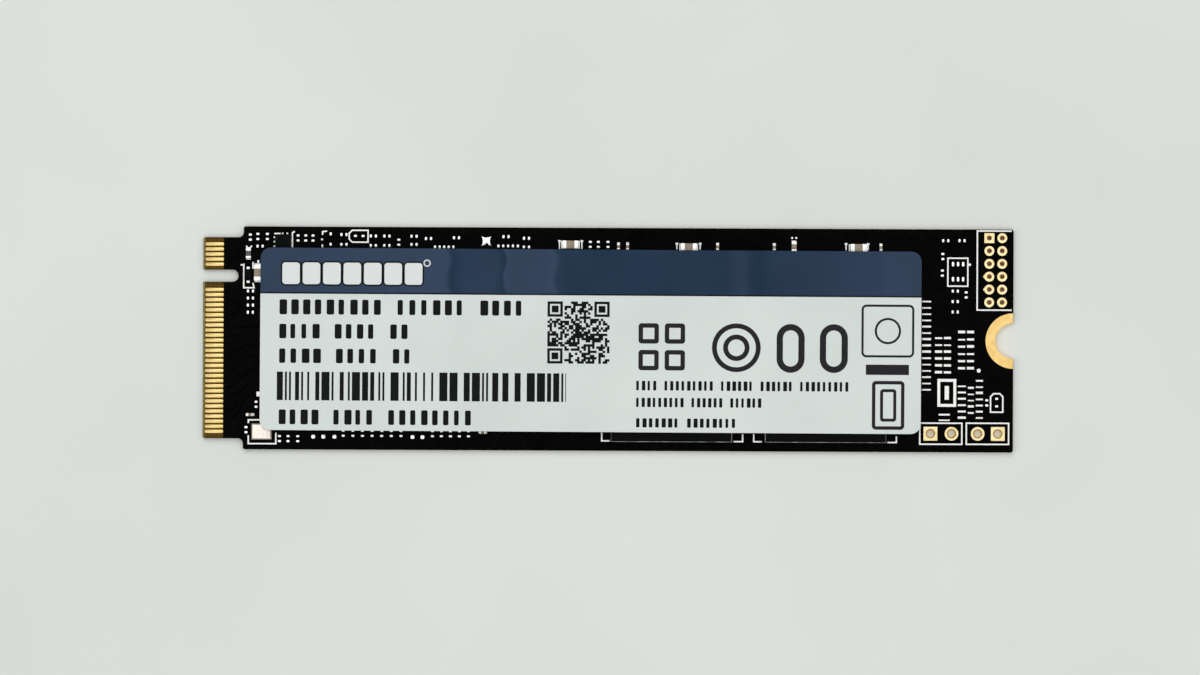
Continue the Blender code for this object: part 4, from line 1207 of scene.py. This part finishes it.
band_blue = new_finish(
    "band_blue", 0.12, BAND_DEEP, BAND_BLUE, 0.008, bumps=(0.0016, 0.000003),
    wander=(0.003, 0.06, 0.11), gloss=0.72,
)
band_inputs = band_blue.node_tree.nodes["Principled BSDF"].inputs
band_inputs["Specular Tint"].default_value = (*BAND_TINT, 1.0)
dark_ink = new_finish(
    "dark_ink", 0.45, INK_BLACK, (20, 22, 23), 0.0001, bumps=(0.0001, 0.000002), gloss=0.06,
)


def print_on_label(name, builder, material):
    """Lays a flat drawing on the film as a piece of its own."""
    lay_on_label(builder)
    fit(make_piece(name, builder, material), "label_film")


band_line = back - BAND_EDGE
band_loop = label_loop[:len(label_loop) // 2] + [(label_left, band_line), (label_right, band_line)]
band = bmesh.new()
add_plate(band, [band_loop], FILM, FILM + BAND_LAYER)
print_on_label("label_band", band, band_blue)
line = bmesh.new()
loop = box_loop(label_left, band_line - BAND_LINE, label_right, band_line)
add_plate(line, [loop], FILM, FILM + BAND_LAYER)
print_on_label("label_band_line", line, dark_ink)

# Label lettering and marks
# The film's words, codes and marks, all as generic stand-ins: plain blocks and bars for words,
# bars and squares set by a rule for the two codes, and rings and frames for the marks.
INK_TOP = 0.000007
BLOCK_ROW = ((7.90, 3.62), (21.70, 5.76))
BLOCK_COUNT = 7
BLOCK_GAP = 0.28
BLOCK_CORNER = 0.3
BLOCK_BORDER = 0.16
# Middle, radius and line width
SMALL_RING = (22.15, 3.62, 0.36, 0.12)
# Two corners of each line of words in millimetres, and how many letters would stand in it
WORD_LINES = (
    ((7.53, 7.26), (31.95, 8.74), 21),
    ((7.53, 9.67), (20.65, 11.10), 12),
    ((7.53, 12.10), (20.97, 13.52), 12),
    ((7.53, 18.10), (26.95, 19.56), 18),
    ((42.75, 15.06), (63.88, 16.00), 38),
    ((42.75, 16.72), (55.28, 17.64), 23),
    ((42.75, 18.74), (52.80, 19.64), 16),
)
WORD_LENGTHS = (4, 6, 7, 9)
# Shares of a letter's pitch: its least and greatest width, where it begins, and its corners
LETTER_SHARES = (0.42, 0.68)
LETTER_LEAD = 0.1
LETTER_CORNER = 0.12
# The bar code's two corners, and its bars and spaces as counts of one module
BAR_CODE = ((7.43, 14.38), (35.90, 17.19))
BAR_MODULE = 0.2
BAR_WIDTHS = (1, 1, 2, 3, 4)
SPACE_WIDTHS = (1, 1, 2, 3)
# The matrix code's back corner, the size and number of its squares, and its corner frames
SQUARE_CODE = (34.05, 7.32)
SQUARE_MODULE = 0.2095
SQUARE_COUNT = 29
INK_SPREAD = 0.00002
FINDER = 7
# Middle, half width, half height, corner and line width of each round-cornered frame
FRAMES = (
    (44.00, 10.39, 1.00, 1.00, 0.3, 0.44), (46.58, 10.39, 1.00, 1.00, 0.3, 0.44),
    (44.00, 13.02, 1.00, 1.00, 0.3, 0.44), (46.58, 13.02, 1.00, 1.00, 0.3, 0.44),
    (52.63, 11.75, 2.40, 2.40, 2.39, 0.48), (52.63, 11.75, 1.30, 1.30, 1.29, 0.48),
    (57.97, 11.78, 1.38, 2.4, 1.37, 0.62), (62.22, 11.77, 1.38, 2.4, 1.37, 0.62),
    (67.53, 10.01, 2.6, 2.6, 0.5, 0.22), (67.53, 10.01, 1.3, 1.3, 1.29, 0.22),
    (67.60, 17.32, 1.60, 2.4, 0.4, 0.34), (67.60, 17.32, 0.80, 1.6, 0.3, 0.30),
)
SOLID_MARK = ((65.38, 13.32), (69.63, 14.33))
LEAST_CORNER = 0.05
MARK_GREY = (38, 36, 42)

pale_ink = new_finish(
    "pale_ink", 0.4, (216, 222, 221), (222, 227, 226), 0.0002, bumps=(0.0002, 0.000002), gloss=0.4,
)
mark_ink = new_finish(
    "mark_ink", 0.45, (26, 25, 29), MARK_GREY, 0.0001, bumps=(0.0001, 0.000002), gloss=0.1,
)


def add_ink(builder, *loops):
    """Adds a patch of ink, an outline and any holes in it, to a drawing that is still flat."""
    add_plate(builder, loops, FILM, FILM + INK_TOP)


low, high = board_box(*BLOCK_ROW)
pitch = (high[0] - low[0] + BLOCK_GAP * MM) / BLOCK_COUNT
corner, edge = BLOCK_CORNER * MM, BLOCK_BORDER * MM
blocks, border = bmesh.new(), bmesh.new()
for n in range(BLOCK_COUNT):
    a, b = low[0] + n * pitch, low[0] + (n + 1) * pitch - BLOCK_GAP * MM
    add_ink(blocks, rounded_loop((a, low[1]), (b, high[1]), corner))
    outer = rounded_loop((a - edge, low[1] - edge), (b + edge, high[1] + edge), corner + edge)
    add_plate(border, [outer], FILM, FILM + (BAND_LAYER + INK_TOP) / 2)
x, y, radius, width = SMALL_RING
x, y = on_board(x, y)
add_ink(blocks, circle(x, y, radius * MM, 24), circle(x, y, (radius - width) * MM, 24))
print_on_label("label_blocks", blocks, pale_ink)
print_on_label("label_block_borders", border, dark_ink)

words = bmesh.new()
draws = random.Random(11)
for start, end, count in WORD_LINES:
    low, high = board_box(start, end)
    pitch = (high[0] - low[0]) / count
    left_in_word = draws.choice(WORD_LENGTHS)
    for n in range(count):
        if left_in_word == 0 and count - n > 2:
            left_in_word = draws.choice(WORD_LENGTHS)
            continue
        left_in_word -= 1
        a = low[0] + pitch * (n + LETTER_LEAD)
        b = a + pitch * draws.uniform(*LETTER_SHARES)
        add_ink(words, rounded_loop((a, low[1]), (b, high[1]), LETTER_CORNER * pitch, 2))
print_on_label("label_words", words, dark_ink)

codes = bmesh.new()
low, high = board_box(*BAR_CODE)
x = low[0]
while x < high[0]:
    width = draws.choice(BAR_WIDTHS) * BAR_MODULE * MM
    add_ink(codes, box_loop(x, low[1], min(x + width, high[0]), high[1]))
    x += width + draws.choice(SPACE_WIDTHS) * BAR_MODULE * MM

cells = random.Random(5)
shares = [[cells.random() for _ in range(SQUARE_COUNT)] for _ in range(SQUARE_COUNT)]


def is_dark(column, line):
    """Whether a square of the matrix is dark: three corner frames, and chance for the rest."""
    last = SQUARE_COUNT - 1
    for across, down in ((0, 0), (last, 0), (0, last)):
        a, b = abs(column - across), abs(line - down)
        if a <= FINDER and b <= FINDER:
            ring = max(abs(a - 3), abs(b - 3))
            return ring in (0, 1, 3)
    return shares[line][column] < 0.5


x, y = on_board(*SQUARE_CODE)
module = SQUARE_MODULE * MM
for line in range(SQUARE_COUNT):
    column = 0
    while column < SQUARE_COUNT:
        start = column
        while column < SQUARE_COUNT and is_dark(column, line):
            column += 1
        if column > start:
            top = y - line * module
            add_ink(codes, box_loop(
                x + start * module - INK_SPREAD, top - module - INK_SPREAD,
                x + column * module + INK_SPREAD, top + INK_SPREAD,
            ))
        column += 1
print_on_label("label_codes", codes, dark_ink)

marks = bmesh.new()
for along, across, half_x, half_y, corner, width in FRAMES:
    x, y = on_board(along, across)
    loops = []
    for inset in (0.0, width):
        a, b, r = (half_x - inset) * MM, (half_y - inset) * MM, max(corner - inset, LEAST_CORNER) * MM
        loops.append(rounded_loop((x - a, y - b), (x + a, y + b), r, 8))
    add_ink(marks, *loops)
add_ink(marks, rounded_loop(*board_box(*SOLID_MARK), LEAST_CORNER * MM))
print_on_label("label_marks", marks, mark_ink)

# Table, lamps and camera
# The drive lies on a pale table under broad soft light, seen from almost straight above.
AIM = (-0.00079, 0.00018, 0.0008)
CAMERA_DISTANCE = 0.40
CAMERA_RISE = 89.7
VIEW_WIDTH = 0.11846
CAMERA_ROLL = 0.25
TABLE_RADIUS = 1.5
TABLE_DEPTH = 0.01
LAMP_DISTANCE = 0.6
WALL_TINT = (1.0, 1.01, 1.02)
# What shiny parts see of the room: a ring of pale walls and panels, from the horizon up, and
# overhead, from left to right, a window's light, the dark round the camera and a dimmer wall
RING = ((0.0, 0.6), (0.35, 0.6), (0.6, 0.65), (0.9, 0.65))
OVERHEAD = (
    (-0.20, (0.80, 0.80, 0.81)), (-0.075, (0.72, 0.72, 0.73)), (-0.045, (0.98, 0.98, 1.0)),
    (-0.032, (0.98, 0.98, 1.0)), (-0.012, (0.02, 0.02, 0.02)), (0.0, (0.04, 0.04, 0.04)),
    (0.006, (0.20, 0.21, 0.22)), (0.03, (0.24, 0.25, 0.26)), (0.05, (0.40, 0.40, 0.42)),
    (0.09, (0.70, 0.70, 0.72)),
)
OVERHEAD_RIM = (0.91, 0.95)
OVERHEAD_REACH = 0.20
# What lights them: a dim room and a broad softbox overhead
SOFTBOX_RIM = (0.87, 0.95)
SOFTBOX_LEVELS = (0.15, 2.36)

table = new_finish("table_top", 0.7, (219, 223, 218), (225, 229, 224), 0.05, gloss=0.3)
builder = bmesh.new()
add_plate(builder, [circle(0.0, 0.0, TABLE_RADIUS, 24)], -TABLE_DEPTH, 0.0)
floor = make_piece("table", builder, table)
floor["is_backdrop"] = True

for name, azimuth, rise, size, power in (
    ("lamp_back", 100.0, 62.0, 0.30, 0.81),
    ("lamp_left", 188.0, 55.0, 0.26, 0.43),
    ("lamp_right", 5.0, 55.0, 0.26, 0.35),
    ("lamp_front", 275.0, 60.0, 0.26, 0.31),
):
    lamp = bpy.data.lights.new(name, "AREA")
    lamp.size = size
    lamp.energy = power
    holder = bpy.data.objects.new(name, lamp)
    a, e = math.radians(azimuth), math.radians(rise)
    aside = LAMP_DISTANCE * math.cos(e)
    holder.location = (math.cos(a) * aside, math.sin(a) * aside, LAMP_DISTANCE * math.sin(e))
    holder.rotation_euler = (-holder.location).to_track_quat("-Z", "Y").to_euler()
    bpy.context.scene.collection.objects.link(holder)


def range_of(tree, value, low, high, to_low=0.0, to_high=1.0):
    """A value of the world's tree, mapped from one range to another and held inside it."""
    node = add_node(
        tree, "ShaderNodeMapRange", From_Min=low, From_Max=high, To_Min=to_low, To_Max=to_high,
    )
    join(tree, value, node.inputs["Value"])
    return node.outputs["Result"]


def ramp_of(tree, share, stops):
    """Colours at the given places of a share, and between them."""
    ramp = add_node(tree, "ShaderNodeValToRGB")
    for _ in stops[2:]:
        ramp.color_ramp.elements.new(1.0)
    for element, (position, tint) in zip(ramp.color_ramp.elements, stops):
        element.position = position
        element.color = (*tint, 1.0)
    join(tree, share, ramp.inputs["Fac"])
    return ramp.outputs["Color"]


world = bpy.data.worlds.new("room")
bpy.context.scene.world = world
world.use_nodes = True
sky = world.node_tree
way = add_node(sky, "ShaderNodeSeparateXYZ")
join(sky, add_node(sky, "ShaderNodeTexCoord").outputs["Generated"], way.inputs["Vector"])
upward, sideways = way.outputs["Z"], way.outputs["X"]
ambient = sky.nodes["Background"]
ambient.inputs["Color"].default_value = (1.0, 1.0, 1.0, 1.0)
join(sky, range_of(sky, upward, *SOFTBOX_RIM, *SOFTBOX_LEVELS), ambient.inputs["Strength"])
walls = [(height, [level * share for share in WALL_TINT]) for height, level in RING]
panels = [((x / OVERHEAD_REACH + 1) / 2, tint) for x, tint in OVERHEAD]
room = add_node(sky, "ShaderNodeMix", data_type="RGBA")
seen = add_node(sky, "ShaderNodeBackground")
join(
    sky, range_of(sky, upward, *OVERHEAD_RIM), room.inputs[0],
    ramp_of(sky, upward, walls), room.inputs[6],
    ramp_of(sky, range_of(sky, sideways, -OVERHEAD_REACH, OVERHEAD_REACH), panels), room.inputs[7],
    room.outputs[2], seen.inputs["Color"],
)
rays = add_node(sky, "ShaderNodeLightPath").outputs
either = add_node(sky, "ShaderNodeMath", operation="MAXIMUM")
mix = add_node(sky, "ShaderNodeMixShader")
join(
    sky, rays["Is Camera Ray"], either.inputs[0], rays["Is Glossy Ray"], either.inputs[1],
    either.outputs[0], mix.inputs["Fac"], ambient.outputs[0], mix.inputs[1],
    seen.outputs[0], mix.inputs[2], mix.outputs[0], sky.nodes["World Output"].inputs["Surface"],
)
camera_data = bpy.data.cameras.new("camera")
camera_data.sensor_width = 36.0
camera_data.lens = camera_data.sensor_width * CAMERA_DISTANCE / VIEW_WIDTH
camera = bpy.data.objects.new("camera", camera_data)
rise = math.radians(CAMERA_RISE)
camera.location = Vector(AIM) + CAMERA_DISTANCE * Vector((0.0, -math.cos(rise), math.sin(rise)))
tilt = Matrix.Rotation(math.radians(90.0) - rise, 4, "X")
roll = Matrix.Rotation(math.radians(CAMERA_ROLL), 4, "Z")
camera.matrix_world = Matrix.Translation(camera.location) @ tilt @ roll
bpy.context.scene.collection.objects.link(camera)
bpy.context.scene.camera = camera
bpy.context.scene.view_settings.view_transform = "Standard"

seen_low, seen_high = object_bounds()
sizes = {"cad": [list(cad_low), list(cad_high)], "visual": [list(seen_low), list(seen_high)]}
